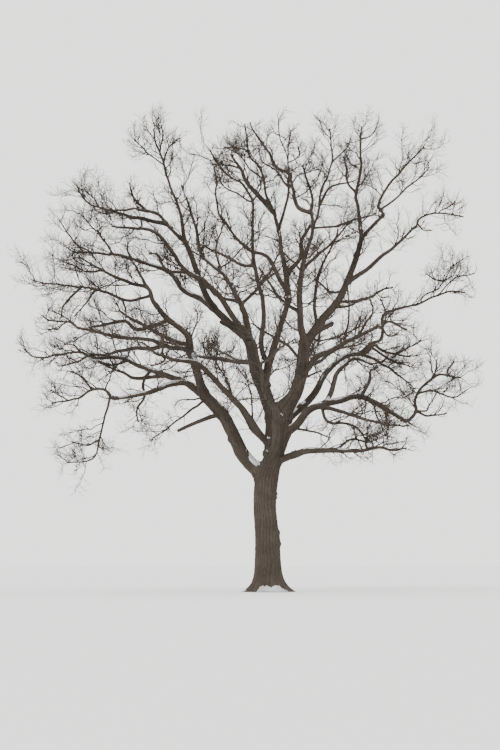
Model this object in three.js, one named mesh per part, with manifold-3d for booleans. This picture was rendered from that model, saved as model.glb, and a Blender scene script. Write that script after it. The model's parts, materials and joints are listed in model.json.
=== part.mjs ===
// A bare oak in winter, grown in the open: one trunk, its boughs, and the masses of twigs that they end in.
// Millimetres, +Z up. The origin is the centre of the flat cut under the trunk, and the front is towards -Y.

import * as THREE from 'three';
import Module from 'manifold-3d';

const wasm = await Module();
wasm.setup();

// Pieces that touch keep this gap.
const GAP = 0.3;

// The tables below give places as [across, up], as they look from this far in front of the trunk.
const EYE = new THREE.Vector3(-650, -60000, 1000);

// The trunk: its height to the fork, its lean, and half of its width, each by height.
const TRUNK_HEIGHT = 6950;
const TRUNK_LEVELS = 13;
const TRUNK_LEVEL_GROWTH = 1.6;
const TRUNK_SIDES = 20;
const TRUNK_GIRTH = [940, 700];
const TRUNK_LEAN = [[0, 0], [0, 2000], [-95, 3200], [-10, 4300], [230, 5100], [400, 6000], [480, 6950]];
const TRUNK_HALF_WIDTH = [
  [470, 0], [470, 1500], [430, 3200], [440, 4300], [375, 5000], [450, 5600], [490, 6200], [430, 6600], [240, 6950],
];

// The root flare: a swelling all round, and toes that run out over the ground.
const FLARE = { wide: 170, fade: 260 };
const TOE_SPREAD = 0.42;
const TOES = [
  { azimuth: 0, wide: 420, fade: 400 },
  { azimuth: 68, wide: 260, fade: 240 },
  { azimuth: 128, wide: 330, fade: 300 },
  { azimuth: 184, wide: 340, fade: 230 },
  { azimuth: 247, wide: 300, fade: 330 },
  { azimuth: 305, wide: 280, fade: 260 },
];

// Each bough leaves its parent where that passes nearest to `from`, bends by way of the places in `via`, and
// ends at the last of them, `deep` behind the trunk, or before it where that is negative. A place with a third
// value has that depth. The girth is the bough's diameter at the root and at the tip.
const BOUGHS = [
  { name: 'left_low', on: 'trunk', from: [0, 4250], deep: -300, girth: [560, 430],
    via: [[-750, 4950], [-1150, 5700], [-1600, 6550], [-2450, 7450]] },
  { name: 'leader_left', on: 'trunk', from: [400, 6150], deep: 150, girth: [600, 430],
    via: [[0, 7250], [-350, 8250], [-650, 9500]] },
  { name: 'leader_right', on: 'trunk', from: [450, 6200], deep: -150, girth: [580, 430],
    via: [[1050, 7550], [1350, 8450], [1450, 9450]] },
  { name: 'left_level', on: 'left_low', from: [-2450, 7450], deep: 1700, girth: [260, 120],
    via: [[-3000, 7800], [-3850, 8200], [-4900, 8550], [-5500, 8850], [-6550, 8850]] },
  { name: 'left_low_arm', on: 'left_low', from: [-2400, 7400], deep: -1700, girth: [250, 130],
    via: [[-3050, 7850], [-3750, 7800], [-4550, 7550], [-5700, 7300]] },
  { name: 'left_riser', on: 'left_low', from: [-2350, 7300], deep: -1200, girth: [360, 180],
    via: [[-2650, 8250], [-2950, 9100], [-3000, 9700], [-3850, 10400], [-4250, 10900]] },
  { name: 'left_reach', on: 'left_riser', from: [-2950, 9150], deep: -3300, girth: [180, 90],
    via: [[-3700, 9250], [-4500, 9550], [-5250, 9600], [-7200, 10000]] },
  { name: 'left_second', on: 'trunk', from: [250, 5350], deep: -4400, girth: [270, 150],
    via: [[-350, 6000, -500], [-950, 6900, -1300], [-1700, 7700, -2100], [-2550, 8600, -3000], [-3650, 8800]] },
  { name: 'leader_mid', on: 'leader_left', from: [-100, 7700], deep: 1600, girth: [320, 200],
    via: [[100, 8700], [400, 9650], [850, 11100]] },
  { name: 'cross_left', on: 'leader_left', from: [-450, 8700], deep: 4500, girth: [230, 120],
    via: [[-1050, 8700, 1400], [-1850, 8800, 3000], [-2700, 8950]] },
  { name: 'upper_left', on: 'leader_left', from: [-650, 9500], deep: 1100, girth: [320, 140],
    via: [[-1350, 10100], [-2150, 10850], [-3200, 11500], [-3750, 12150], [-5000, 12650]] },
  { name: 'spire_left', on: 'upper_left', from: [-2000, 10750], deep: -900, girth: [260, 110],
    via: [[-2400, 11400], [-2750, 12300], [-3100, 13300], [-3300, 14250], [-3500, 15000]] },
  { name: 'spear_left', on: 'leader_left', from: [-600, 9500], deep: 2900, girth: [230, 80],
    via: [[-900, 10700], [-1600, 12000], [-2500, 12900], [-2700, 13800], [-3300, 15600]] },
  { name: 'centre_left', on: 'leader_mid', from: [50, 8600], deep: -3300, girth: [220, 110],
    via: [[-200, 9300, -500], [-100, 10700, -1400], [-500, 12500, -2300], [-550, 14150]] },
  { name: 'crown_centre', on: 'leader_mid', from: [850, 11100], deep: 1900, girth: [230, 120],
    via: [[750, 11950], [600, 12950], [400, 14000], [50, 15050]] },
  { name: 'crown_right', on: 'crown_centre', from: [500, 13800], deep: 900, girth: [140, 75],
    via: [[650, 14550], [800, 15350], [850, 16300]] },
  { name: 'right_upper', on: 'leader_right', from: [1450, 9450], deep: 700, girth: [360, 170],
    via: [[2050, 10200], [2750, 11150], [3200, 12100], [3650, 13500], [3600, 14000]] },
  { name: 'right_inner', on: 'leader_right', from: [1450, 9350], deep: -2100, girth: [280, 140],
    via: [[1250, 10300], [1250, 11250], [1400, 12350], [1700, 13500]] },
  { name: 'cross_top', on: 'crown_centre', from: [800, 11350], deep: 300, girth: [180, 90],
    via: [[450, 11900], [50, 12750], [-650, 13050], [-1200, 13600], [-1800, 14400]] },
  { name: 'right_far_upper', on: 'right_upper', from: [3050, 11750], deep: 1900, girth: [200, 90],
    via: [[4000, 12450], [5000, 13250], [5700, 13950]] },
  { name: 'right_horn', on: 'right_upper', from: [3600, 13500], deep: -700, girth: [150, 130],
    via: [[4000, 13900], [4450, 14350]] },
  { name: 'right_mid', on: 'trunk', from: [500, 6000], deep: 2100, girth: [330, 170],
    via: [[1050, 6700], [1700, 7350], [2200, 8200], [2900, 8850], [3650, 9050]] },
  { name: 'right_reach', on: 'right_mid', from: [3600, 9050], deep: 900, girth: [160, 90],
    via: [[4000, 9400], [4350, 9550], [4500, 10500], [4900, 10700], [5700, 10900]] },
  { name: 'right_high_mid', on: 'leader_right', from: [1300, 8100], deep: -4700, girth: [240, 110],
    via: [[1850, 8800, -1200], [2800, 9350, -2800], [3450, 9650], [4200, 10050]] },
  { name: 'right_lower', on: 'trunk', from: [450, 5650], deep: -900, girth: [340, 150],
    via: [[1100, 6300], [1700, 6950], [2800, 7250], [3550, 7400], [5150, 6500]] },
  { name: 'right_lower_front', on: 'right_lower', from: [1900, 7000], deep: -4200, girth: [180, 80],
    via: [[2450, 6900], [3350, 6650], [4500, 6300]] },
  { name: 'right_lowest', on: 'trunk', from: [300, 4850], deep: -2000, girth: [300, 150],
    via: [[950, 5100], [1700, 5300], [3400, 5300]] },
  { name: 'fan_left', on: 'spire_left', from: [-3150, 13250], deep: -2400, girth: [160, 100],
    via: [[-3750, 13900], [-4150, 14400], [-5000, 14650]] },
  { name: 'front_low', on: 'trunk', from: [120, 4850], deep: -6000, girth: [330, 130],
    via: [[330, 5850, -1000], [270, 6900, -2500], [-60, 7550, -4200], [-260, 8500]] },
  { name: 'front_high', on: 'leader_right', from: [1200, 8200], deep: -5600, girth: [280, 120],
    via: [[1400, 9300, -1500], [1250, 10400, -2700], [1250, 11250, -4300], [1350, 12050]] },
  { name: 'back_low', on: 'trunk', from: [470, 6150], deep: 6200, girth: [360, 130],
    via: [[900, 7200, 1300], [1350, 8500, 3000], [1250, 8900, 4700], [1900, 9300]] },
  { name: 'back_high', on: 'leader_left', from: [-180, 8000], deep: 5800, girth: [310, 120],
    via: [[-800, 10150, 1200], [-1050, 11000, 2600], [-1400, 11700, 4200], [-1750, 12200]] },
];

// Dead limbs that broke off short. Each is one piece with the bough it stands on.
const SNAGS = [
  { on: 'left_low', from: [-1750, 6700], deep: -900, girth: [190, 120], via: [[-2300, 6550], [-3400, 6050]] },
  { on: 'right_upper', from: [1750, 9900], deep: 450, girth: [250, 220], via: [[2500, 10200]] },
  { on: 'upper_left', from: [-900, 9700], deep: -300, girth: [200, 170], via: [[-1300, 9950], [-1750, 10250]] },
];

// Each mass grows on from the tip of the bough it is named after: a stem, the arms that leave it, and their twigs.
const MASSES = [
  { on: 'left_level', deep: 2600, via: [[-7150, 9050], [-8050, 9000], [-8850, 8900], [-9300, 9200]], arms: [
    { from: [-6750, 8900], deep: 3200, via: [[-7150, 8700], [-8000, 8550]] },
    { from: [-7150, 9050], deep: 1600, via: [[-7350, 9300], [-7800, 9350]] }] },
  { on: 'left_low_arm', deep: -2400, via: [[-6200, 7650], [-6750, 7600], [-7250, 7300], [-8200, 7100]], arms: [
    { from: [-5800, 7300], deep: -1500, via: [[-6200, 6600], [-6450, 5700], [-6600, 5050], [-7600, 4850]] },
    { from: [-7600, 7200], deep: -3200, via: [[-7900, 7350], [-8250, 7600]] }] },
  { on: 'left_riser', deep: -500, via: [[-4550, 11500], [-5400, 11800], [-6100, 12200], [-7250, 12800]], arms: [
    { from: [-4250, 10950], deep: -2000, via: [[-5300, 11050], [-6250, 11400], [-7900, 11650], [-9000, 11850]] },
    { from: [-6300, 12300], deep: 400, via: [[-7000, 12200], [-7850, 12600]] }] },
  { on: 'left_reach', deep: -4300, via: [[-7600, 10150], [-8250, 10300], [-8600, 10500]], arms: [
    { from: [-7700, 10200], deep: -5000, via: [[-8000, 10050], [-8400, 9950]] },
    { from: [-7400, 10050], deep: -3300, via: [[-7850, 10550], [-8250, 10700]] }] },
  { on: 'left_second', deep: -6300, via: [[-4100, 9050], [-4800, 9450]], arms: [
    { from: [-3900, 8950], deep: -5600, via: [[-4100, 8700], [-4450, 8550]] },
    { from: [-4000, 9000], deep: -5500, via: [[-4050, 9450], [-4500, 10250]] }] },
  { on: 'cross_left', deep: 6500, via: [[-3000, 9100], [-3400, 9300], [-4100, 9550]], arms: [
    { from: [-2800, 9000], deep: 5900, via: [[-2800, 9750], [-2650, 10550], [-2800, 10750]] },
    { from: [-2900, 9050], deep: 5200, via: [[-3300, 8900], [-4100, 8500]] }] },
  { on: 'upper_left', deep: 1900, via: [[-5950, 12950], [-6500, 12950], [-7450, 13000], [-7650, 13100]], arms: [
    { from: [-5950, 12950], deep: 2700, via: [[-6300, 13450], [-6750, 13950], [-7250, 14500]] },
    { from: [-6700, 12950], deep: 1000, via: [[-7350, 13250], [-7850, 13950], [-8050, 14250]] }] },
  { on: 'spire_left', deep: -1000, via: [[-3750, 15800], [-3950, 16500], [-4350, 17400], [-4400, 17850]], arms: [
    { from: [-3900, 16400], deep: -1700, via: [[-4200, 16550], [-4850, 17100], [-5150, 17450]] },
    { from: [-3950, 16500], deep: -100, via: [[-3850, 16850], [-3350, 17450]] }] },
  { on: 'fan_left', deep: -3100, via: [[-5500, 14600], [-6450, 14750], [-7050, 15150], [-7350, 15600]], arms: [
    { from: [-6500, 14750], deep: -3300, via: [[-6600, 15000], [-7050, 15500]] },
    { from: [-6200, 14650], deep: -2300, via: [[-6100, 14450], [-6050, 14200]] }] },
  { on: 'centre_left', deep: -4200, via: [[-600, 15100], [-1050, 15800], [-1500, 16000], [-2200, 17000]], arms: [
    { from: [-550, 14950], deep: -4900, via: [[-800, 15000], [-1700, 15550], [-1850, 15900]] },
    { from: [-550, 14950], deep: -5000, via: [[-350, 15400], [-200, 15900]] }] },
  { on: 'crown_centre', deep: 1900, via: [[-150, 15850], [-350, 16400], [-700, 16950], [-850, 18050]], arms: [
    { from: [-650, 16850], deep: 2900, via: [[-900, 17050], [-1600, 17100]] },
    { from: [-200, 15900], deep: 3500, via: [[-750, 16300], [-1050, 16750], [-1650, 17100]] }] },
  { on: 'crown_right', deep: 700, via: [[850, 16600], [950, 17400], [950, 17750]], arms: [
    { from: [850, 16600], deep: 200, via: [[550, 17400], [450, 18200]] },
    { from: [850, 16300], deep: 1700, via: [[1200, 16650], [1250, 17100]] }] },
  { on: 'cross_top', deep: 300, via: [[-1900, 15200], [-1900, 15650], [-2050, 16350]], arms: [
    { from: [-1900, 15650], deep: -300, via: [[-1800, 15950], [-1750, 16300]] }] },
  { on: 'right_inner', deep: -2400, via: [[1650, 14600], [1700, 15100], [1500, 15950], [1400, 16400]], arms: [
    { from: [1800, 13750], deep: -3000, via: [[1950, 14450], [2050, 15350], [2550, 16500], [2450, 17850]] },
    { from: [1700, 13700], deep: -3400, via: [[2450, 14000], [3450, 14250], [4250, 14500]] }] },
  { on: 'right_upper', deep: 700, via: [[3500, 14550], [3400, 15200], [3650, 16300], [3700, 17950]], arms: [
    { from: [3650, 17400], deep: 300, via: [[4000, 17600], [4350, 18150]] },
    { from: [3400, 15300], deep: 1500, via: [[3150, 15800], [3000, 16750]] }] },
  { on: 'right_horn', deep: -900, via: [[4350, 14800], [4650, 15500], [5200, 16150], [6100, 17150]], arms: [
    { from: [4400, 14600], deep: -1500, via: [[4950, 15000], [5400, 15500], [6300, 16300]] }] },
  { on: 'right_far_upper', deep: 2400, via: [[5900, 14350], [6450, 14550], [7600, 14350]], arms: [
    { from: [6600, 14550], deep: 3000, via: [[6750, 14650], [7300, 14950]] },
    { from: [5750, 14050], deep: 1700, via: [[6000, 13800], [6350, 13800]] }] },
  { on: 'right_mid', deep: 3300, via: [[4200, 9350], [4550, 9150], [5450, 8900]], arms: [
    { from: [4000, 9250], deep: 2700, via: [[4800, 8750], [5600, 8450]] },
    { from: [4900, 9050], deep: 4000, via: [[5550, 9250], [5900, 9550]] }] },
  { on: 'right_reach', deep: 600, via: [[6500, 11200], [7000, 11450], [7600, 11400]], arms: [
    { from: [5850, 10950], deep: 1500, via: [[5900, 11200], [6550, 11650], [7200, 12500]] },
    { from: [6550, 11250], deep: -300, via: [[7150, 11800], [8000, 12150]] }] },
  { on: 'right_high_mid', deep: -6500, via: [[4450, 9950], [4750, 10200], [5350, 9950]], arms: [
    { from: [4350, 10000], deep: -5700, via: [[4500, 10450], [4350, 11150]] },
    { from: [4450, 9900], deep: -5900, via: [[4600, 9700], [5050, 9850]] }] },
  { on: 'right_lower', deep: -1500, via: [[5650, 6900], [5650, 7300], [6400, 8100], [7400, 8100]], arms: [
    { from: [5650, 6800], deep: -500, via: [[6300, 6700], [6850, 6750]] },
    { from: [5700, 7500], deep: -2200, via: [[6300, 7650], [7100, 7400], [7650, 7650]] }] },
  { on: 'right_lower_front', deep: -5900, via: [[4950, 6300], [5400, 6250]], arms: [
    { from: [4600, 6300], deep: -5200, via: [[4500, 6050], [4600, 5700]] },
    { from: [4650, 6300], deep: -5600, via: [[4500, 6650], [4400, 7000]] }] },
  { on: 'right_lowest', deep: -2700, via: [[4200, 5350], [4750, 5300], [5300, 5400]], arms: [
    { from: [3800, 5400], deep: -3500, via: [[3800, 5750], [4300, 6000]] }] },
  { on: 'front_low', deep: -7300, via: [[-500, 9300], [-900, 10100]], arms: [
    { from: [-300, 8600], deep: -7000, via: [[-1300, 8900], [-2300, 9400]] },
    { from: [-300, 8600], deep: -7300, via: [[400, 9000], [1100, 9600]] }] },
  { on: 'front_high', deep: -6700, via: [[1400, 12900], [1250, 13750]], arms: [
    { from: [1350, 12100], deep: -6900, via: [[1600, 12750], [2150, 13400]] },
    { from: [1350, 12100], deep: -7100, via: [[1100, 12600], [500, 13050]] }] },
  { on: 'back_low', deep: 7500, via: [[2100, 10200], [2600, 11100]], arms: [
    { from: [1950, 9500], deep: 7500, via: [[2800, 9700], [3700, 10100]] },
    { from: [1950, 9500], deep: 7800, via: [[1300, 9800], [700, 10300]] }] },
  { on: 'back_high', deep: 7000, via: [[-1900, 13100], [-1700, 14000]], arms: [
    { from: [-1800, 12300], deep: 7200, via: [[-2500, 12700], [-3300, 13300]] },
    { from: [-1800, 12300], deep: 7000, via: [[-1100, 12900], [-500, 13500]] }] },
];

// A stem fits within its bough's tip, and starts a share of that girth inside it. No arm leaves it nearer to its
// foot than FIRST_ARM, as a share of the stem, and an arm starts at a share of the stem's girth there.
const STEM_FIT = 0.9;
const STEM_SINK = 0.25;
const FIRST_ARM = 0.12;
const ARM_SHARE = 0.58;
const STEM_TIP = 26;
const ARM_TIP = 22;

// The twigs. Those of the first order leave a stem or an arm, and those of the second leave the first. They
// stand `apart` along it, turned from each other by the golden angle, and lean out from it by `lean` radians.
// Their length is a share of what they grow on, within bounds, and they are no thicker than a share of it.
const ORDERS = [
  { apart: 930, lean: [0.75, 1.2], share: 0.5, bounds: [380, 1150], root: 30, taper: 0.6, joints: 2 },
  { apart: 760, lean: [0.6, 1.0], share: 0.6, bounds: [240, 600], root: 16, taper: 0, joints: 1 },
];
// The draws that a twig's values come from, and the odd numbers and shifts that scatter the bits of a draw.
const DRAWS = { stand: 0, lean: 1, length: 2, turn: 3, bend: 10, child: 50 };
const MIX = { turn: 0x9e3779b1, twig: 0x85ebca6b, last: 0xc2b2ae35, shift: 13, lastShift: 16 };
const WORD = 2 ** 32;

const GOLDEN_ANGLE = Math.PI * (3 - Math.sqrt(5));
const CROOK = 0.3;
const LIFT = 0.16;
const FIRST_TWIG = 0.18;

// Where a twig may stand in its own stretch of what it grows on, how its length varies, and how much shorter the
// last twigs are than the first.
const STAND = [0.35, 0.95];
const LENGTH_RANGE = [0.7, 1.3];
const LENGTH_FADE = 0.7;

const TWIG_SIDES = 3;
const TWIG_SHARE = 0.46;

// A twig keeps this far from every limb, and this much nearer to its own mass's stem and arms than to any other's.
const LIMB_CLEARANCE = 40;
const MASS_MARGIN = 90;
const SAMPLE = 120;

// How far a limb sways in depth at the places between its root and its tip.
const SWAY = 320;

// How many places along a limb are tried for the one nearest to a place, and the helpers that pick a side for a
// twig: a heading nearer to upright than this takes X, and a joint's ring is turned by a nudge.
const SHARE_TRIES = 80;
const LEAST_SIDE = 0.1;
const NUDGE = new THREE.Vector3(1e-3, 0, 0);

// The number of sides and the length of a step, by a limb's diameter at its root.
const SIDES_BY_GIRTH = [[300, 8], [170, 7], [140, 5], [80, 4], [0, 3]];
const STEP_LENGTH = 820;
const BARK = new THREE.Color('#4f4336');
const TWIG_BARK = new THREE.Color('#5d4c3b');

// A place seen at [across, up], carried along its line of sight to the depth it is at, and the other way round.
function placeOf([across, up], deep) {
  const reach = (deep - EYE.y) / -EYE.y;
  return new THREE.Vector3(EYE.x + (across - EYE.x) * reach, deep, EYE.z + (up - EYE.z) * reach);
}

function seenAt(place) {
  const reach = (place.y - EYE.y) / -EYE.y;
  return new THREE.Vector2(EYE.x + (place.x - EYE.x) / reach, EYE.z + (place.z - EYE.z) / reach);
}

// A curve from its root through the places of a limb, which comes evenly to its own depth.
function courseOf(root, limb) {
  const seen = [seenAt(root), ...limb.via.map(([across, up]) => new THREE.Vector2(across, up))];
  const runs = [0];
  for (let i = 1; i < seen.length; i++) {
    runs.push(runs[i - 1] + seen[i].distanceTo(seen[i - 1]));
  }
  const points = limb.via.map((spot, i) => {
    const share = runs[i + 1] / runs.at(-1);
    const sway = share < 1 ? SWAY * (2 * draw(Math.round(limb.deep), i) - 1) : 0;
    return placeOf(spot, spot[2] ?? root.y + (limb.deep - root.y) * share + sway);
  });
  return new THREE.CatmullRomCurve3([root, ...points]);
}

// The place and the heading at a share along a run of points that are evenly apart.
function alongPoints(points, share) {
  const step = Math.min(points.length - 2, Math.floor(share * (points.length - 1)));
  const rest = share * (points.length - 1) - step;
  const heading = points[step + 1].clone().sub(points[step]).normalize();
  return { place: points[step].clone().lerp(points[step + 1], rest), heading };
}

// The share along a run of points at which it passes nearest to a place seen at [across, up].
function shareNearest(points, [across, up]) {
  const wanted = new THREE.Vector2(across, up);
  let best = 0;
  let least = Infinity;
  for (let i = 0; i <= SHARE_TRIES; i++) {
    const distance = seenAt(alongPoints(points, i / SHARE_TRIES).place).distanceTo(wanted);
    if (distance < least) {
      least = distance;
      best = i / SHARE_TRIES;
    }
  }
  return best;
}

// A closed solid from rings of points that turn anticlockwise round the way they run. Where a tip is given, the
// last ring closes on it.
function solidOf(rings, tip) {
  const sides = rings[0].length;
  const points = rings.flat();
  const faces = [];
  for (let r = 1; r < rings.length; r++) {
    for (let s = 0; s < sides; s++) {
      const next = (s + 1) % sides;
      const low = (r - 1) * sides;
      const high = r * sides;
      faces.push(low + s, low + next, high + next, low + s, high + next, high + s);
    }
  }
  const last = (rings.length - 1) * sides;
  for (let s = 1; s < sides - 1; s++) {
    faces.push(0, s + 1, s);
    if (!tip) {
      faces.push(last, last + s, last + s + 1);
    }
  }
  if (tip) {
    points.push(tip);
    for (let s = 0; s < sides; s++) {
      faces.push(last + s, last + (s + 1) % sides, points.length - 1);
    }
  }
  const vertProperties = new Float32Array(points.flatMap((point) => point.toArray()));
  return new wasm.Manifold(new wasm.Mesh({ numProp: 3, vertProperties, triVerts: new Uint32Array(faces) }));
}

function ringAt(centre, radius, sides, normal, binormal) {
  return Array.from({ length: sides }, (_, s) => {
    const angle = (2 * Math.PI * s) / sides;
    return centre.clone()
      .addScaledVector(normal, radius * Math.cos(angle))
      .addScaledVector(binormal, radius * Math.sin(angle));
  });
}

function sidesFor(diameter) {
  return SIDES_BY_GIRTH.find(([least]) => diameter >= least)[1];
}

// A limb's course with its girth, and the joints it is straight between, which all that grows on it starts from.
function limbAlong(course, girth) {
  const steps = Math.max(3, Math.round(course.getLength() / STEP_LENGTH) + 1);
  return { course, girth, steps, joints: course.getSpacedPoints(steps) };
}

// A tapering limb with flat ends. Swollen, it stands for the limb and the gap round it.
function limbSolid({ course, girth, steps, joints }, swell = 0) {
  const sides = sidesFor(girth[0]);
  const frames = course.computeFrenetFrames(steps);
  const rings = [];
  for (let i = 0; i <= steps; i++) {
    const radius = THREE.MathUtils.lerp(girth[0], girth[1], i / steps) / 2 + swell;
    const centre = joints[i].clone();
    if (i === 0 || i === steps) {
      centre.addScaledVector(frames.tangents[i], i === 0 ? -swell : swell);
    }
    rings.push(ringAt(centre, radius, sides, frames.normals[i], frames.binormals[i]));
  }
  return solidOf(rings);
}

function largest(solid) {
  const bodies = solid.decompose();
  return bodies.reduce((best, body) => (body.volume() > best.volume() ? body : best));
}

// A value read off a table of [value, height] by straight lines.
function valueAt(table, height) {
  const after = table.findIndex(([, up]) => up >= height);
  if (after <= 0) {
    return table.at(after)[0];
  }
  const [low, from] = table[after - 1];
  const [high, to] = table[after];
  return THREE.MathUtils.mapLinear(height, from, to, low, high);
}

function trunkRadius(height, angle) {
  let radius = valueAt(TRUNK_HALF_WIDTH, height) + FLARE.wide * Math.exp(-height / FLARE.fade);
  for (const toe of TOES) {
    const turn = THREE.MathUtils.euclideanModulo(angle - THREE.MathUtils.degToRad(toe.azimuth), 2 * Math.PI);
    const off = Math.min(turn, 2 * Math.PI - turn) / TOE_SPREAD;
    radius += toe.wide * Math.exp(-height / toe.fade) * Math.exp(-off * off);
  }
  return radius;
}

function trunkSolid(swell = 0) {
  const rings = [];
  for (let level = 0; level <= TRUNK_LEVELS; level++) {
    const height = TRUNK_HEIGHT * (level / TRUNK_LEVELS) ** TRUNK_LEVEL_GROWTH;
    const ring = [];
    for (let s = 0; s < TRUNK_SIDES; s++) {
      const angle = (2 * Math.PI * s) / TRUNK_SIDES;
      const radius = trunkRadius(height, angle) + swell;
      const x = valueAt(TRUNK_LEAN, height) + radius * Math.cos(angle);
      ring.push(new THREE.Vector3(x, radius * Math.sin(angle), height));
    }
    rings.push(ring);
  }
  rings.at(-1).forEach((point) => { point.z += swell; });
  return solidOf(rings);
}

// The trunk and the boughs. A bough is cut clear of the trunk and of every bough before it.
const limbs = new Map();
const trunkCourse = new THREE.CatmullRomCurve3(TRUNK_LEAN.map(([x, z]) => new THREE.Vector3(x, 0, z)));
limbs.set('trunk', { ...limbAlong(trunkCourse, TRUNK_GIRTH), solid: trunkSolid(), swollen: trunkSolid(GAP) });

// A limb that grows on another, from where that passes nearest to the place it is seen to leave at.
function limbOn(parent, limb, girth) {
  const { place } = alongPoints(parent.joints, shareNearest(parent.joints, limb.from));
  return limbAlong(courseOf(place, limb), girth);
}

for (const bough of BOUGHS) {
  const parent = limbs.get(bough.on);
  const limb = limbOn(parent, bough, bough.girth);
  let solid = limbSolid(limb);
  for (const snag of SNAGS.filter(({ on }) => on === bough.name)) {
    solid = solid.add(limbSolid(limbOn(limb, snag, snag.girth)));
  }
  for (const { swollen } of limbs.values()) {
    solid = solid.subtract(swollen);
  }
  limbs.set(bough.name, { ...limb, solid: largest(solid), swollen: limbSolid(limb, GAP) });
}

// The stems and the arms of the masses.
function axesOf(mass) {
  const bough = limbs.get(mass.on);
  const along = bough.course.getTangentAt(1);
  const root = bough.course.getPointAt(1).addScaledVector(along, -bough.girth[1] * STEM_SINK);
  const lead = bough.course.getPointAt(1).addScaledVector(along, bough.girth[1]);
  const shape = new THREE.CatmullRomCurve3([root, ...courseOf(lead, mass).points]);
  const stem = limbAlong(shape, [bough.girth[1] * STEM_FIT, STEM_TIP]);
  const arms = mass.arms.map((arm) => {
    const share = Math.max(FIRST_ARM, shareNearest(stem.joints, arm.from));
    const girth = THREE.MathUtils.lerp(stem.girth[0], stem.girth[1], share) * ARM_SHARE;
    return limbAlong(courseOf(alongPoints(stem.joints, share).place, arm), [girth, ARM_TIP]);
  });
  return [stem, ...arms];
}

function samplesOf({ course, girth, joints }) {
  const count = Math.ceil(course.getLength() / SAMPLE);
  return Array.from({ length: count + 1 }, (_, i) => {
    const point = alongPoints(joints, i / count).place;
    return { point, radius: THREE.MathUtils.lerp(girth[0], girth[1], i / count) / 2 };
  });
}

const axes = MASSES.map(axesOf);
const axisSamples = axes.map((group) => group.flatMap(samplesOf));
const limbSamples = [...limbs].map(([name, limb]) => ({ name, samples: samplesOf(limb) }));

function nearest(point, samples) {
  return samples.reduce((least, sample) => Math.min(least, point.distanceTo(sample.point)), Infinity);
}

// Whether a twig's point is inside its own mass's space and clear of the limbs.
function hasRoom(point, index) {
  const touches = limbSamples.some(({ samples }) => samples.some((sample) => {
    return point.distanceTo(sample.point) < sample.radius + LIMB_CLEARANCE;
  }));
  if (touches) {
    return false;
  }
  const own = nearest(point, axisSamples[index]);
  return axisSamples.every((samples, i) => i === index || nearest(point, samples) > own + MASS_MARGIN);
}

// A number from 0 to 1 that depends only on a twig's own number and on which draw it is.
function draw(twig, turn) {
  let hash = Math.imul(twig ^ Math.imul(turn + 1, MIX.turn), MIX.twig);
  hash = Math.imul(hash ^ (hash >>> MIX.shift), MIX.last);
  return ((hash ^ (hash >>> MIX.lastShift)) >>> 0) / WORD;
}

function numberOf(parent, child) {
  return (draw(parent, DRAWS.child + child) * WORD) >>> 0;
}

// One twig's joints: it leans out of what it grows on, bends at every joint and lifts a little towards the light.
function twigPoints(number, place, heading, length, turned, order) {
  const side = new THREE.Vector3(0, 0, 1).cross(heading);
  if (side.length() < LEAST_SIDE) {
    side.set(1, 0, 0);
  }
  side.normalize();
  const other = heading.clone().cross(side);
  const lean = THREE.MathUtils.lerp(order.lean[0], order.lean[1], draw(number, DRAWS.lean));
  const way = heading.clone().multiplyScalar(Math.cos(lean))
    .addScaledVector(side, Math.cos(turned) * Math.sin(lean))
    .addScaledVector(other, Math.sin(turned) * Math.sin(lean));
  const points = [place];
  for (let joint = 0; joint < order.joints; joint++) {
    const bend = new THREE.Vector3(...[0, 1, 2].map((axis) => draw(number, DRAWS.bend + 3 * joint + axis) - 0.5));
    way.addScaledVector(bend, 2 * CROOK);
    way.z += LIFT;
    way.normalize();
    points.push(points.at(-1).clone().addScaledVector(way, length / order.joints));
  }
  return points;
}

// A twig's solid: a ring at its root and at every joint, square to the way it runs there.
function twigSolid(points, girth) {
  const rings = points.map((point, i) => {
    const way = points[Math.min(i + 1, points.length - 1)].clone().sub(points[Math.max(i - 1, 0)]).normalize();
    const side = new THREE.Vector3(0, 0, 1).cross(way).add(NUDGE).normalize();
    const other = way.clone().cross(side).normalize();
    const radius = THREE.MathUtils.lerp(girth[0], girth[1], i / (points.length - 1)) / 2;
    return ringAt(point, radius, TWIG_SIDES, side, other);
  });
  return girth[1] ? solidOf(rings) : solidOf(rings.slice(0, -1), points.at(-1));
}

// The twigs that leave a run of points, and those that leave them in turn.
function growTwigs(number, points, length, girth, level, index) {
  const order = ORDERS[level];
  if (!order) {
    return [];
  }
  const count = Math.round((length * (1 - FIRST_TWIG)) / order.apart);
  const grown = [];
  for (let k = 0; k < count; k++) {
    const twig = numberOf(number, k);
    const stand = k + THREE.MathUtils.lerp(...STAND, draw(twig, DRAWS.stand));
    const share = FIRST_TWIG + (1 - FIRST_TWIG) * (stand / count);
    const { place, heading } = alongPoints(points, share);
    const vary = THREE.MathUtils.lerp(...LENGTH_RANGE, draw(twig, DRAWS.length));
    const size = length * order.share * (1 - LENGTH_FADE * share) * vary;
    const long = THREE.MathUtils.clamp(size, ...order.bounds);
    const run = twigPoints(twig, place, heading, long, k * GOLDEN_ANGLE + draw(twig, DRAWS.turn), order);
    const root = Math.min(order.root, TWIG_SHARE * THREE.MathUtils.lerp(girth[0], girth[1], share));
    const thick = [root, root * order.taper];
    if (run.slice(1).every((point) => hasRoom(point, index))) {
      grown.push({ run, thick }, ...growTwigs(twig, run, long, thick, level + 1, index));
    }
  }
  return grown;
}

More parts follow.
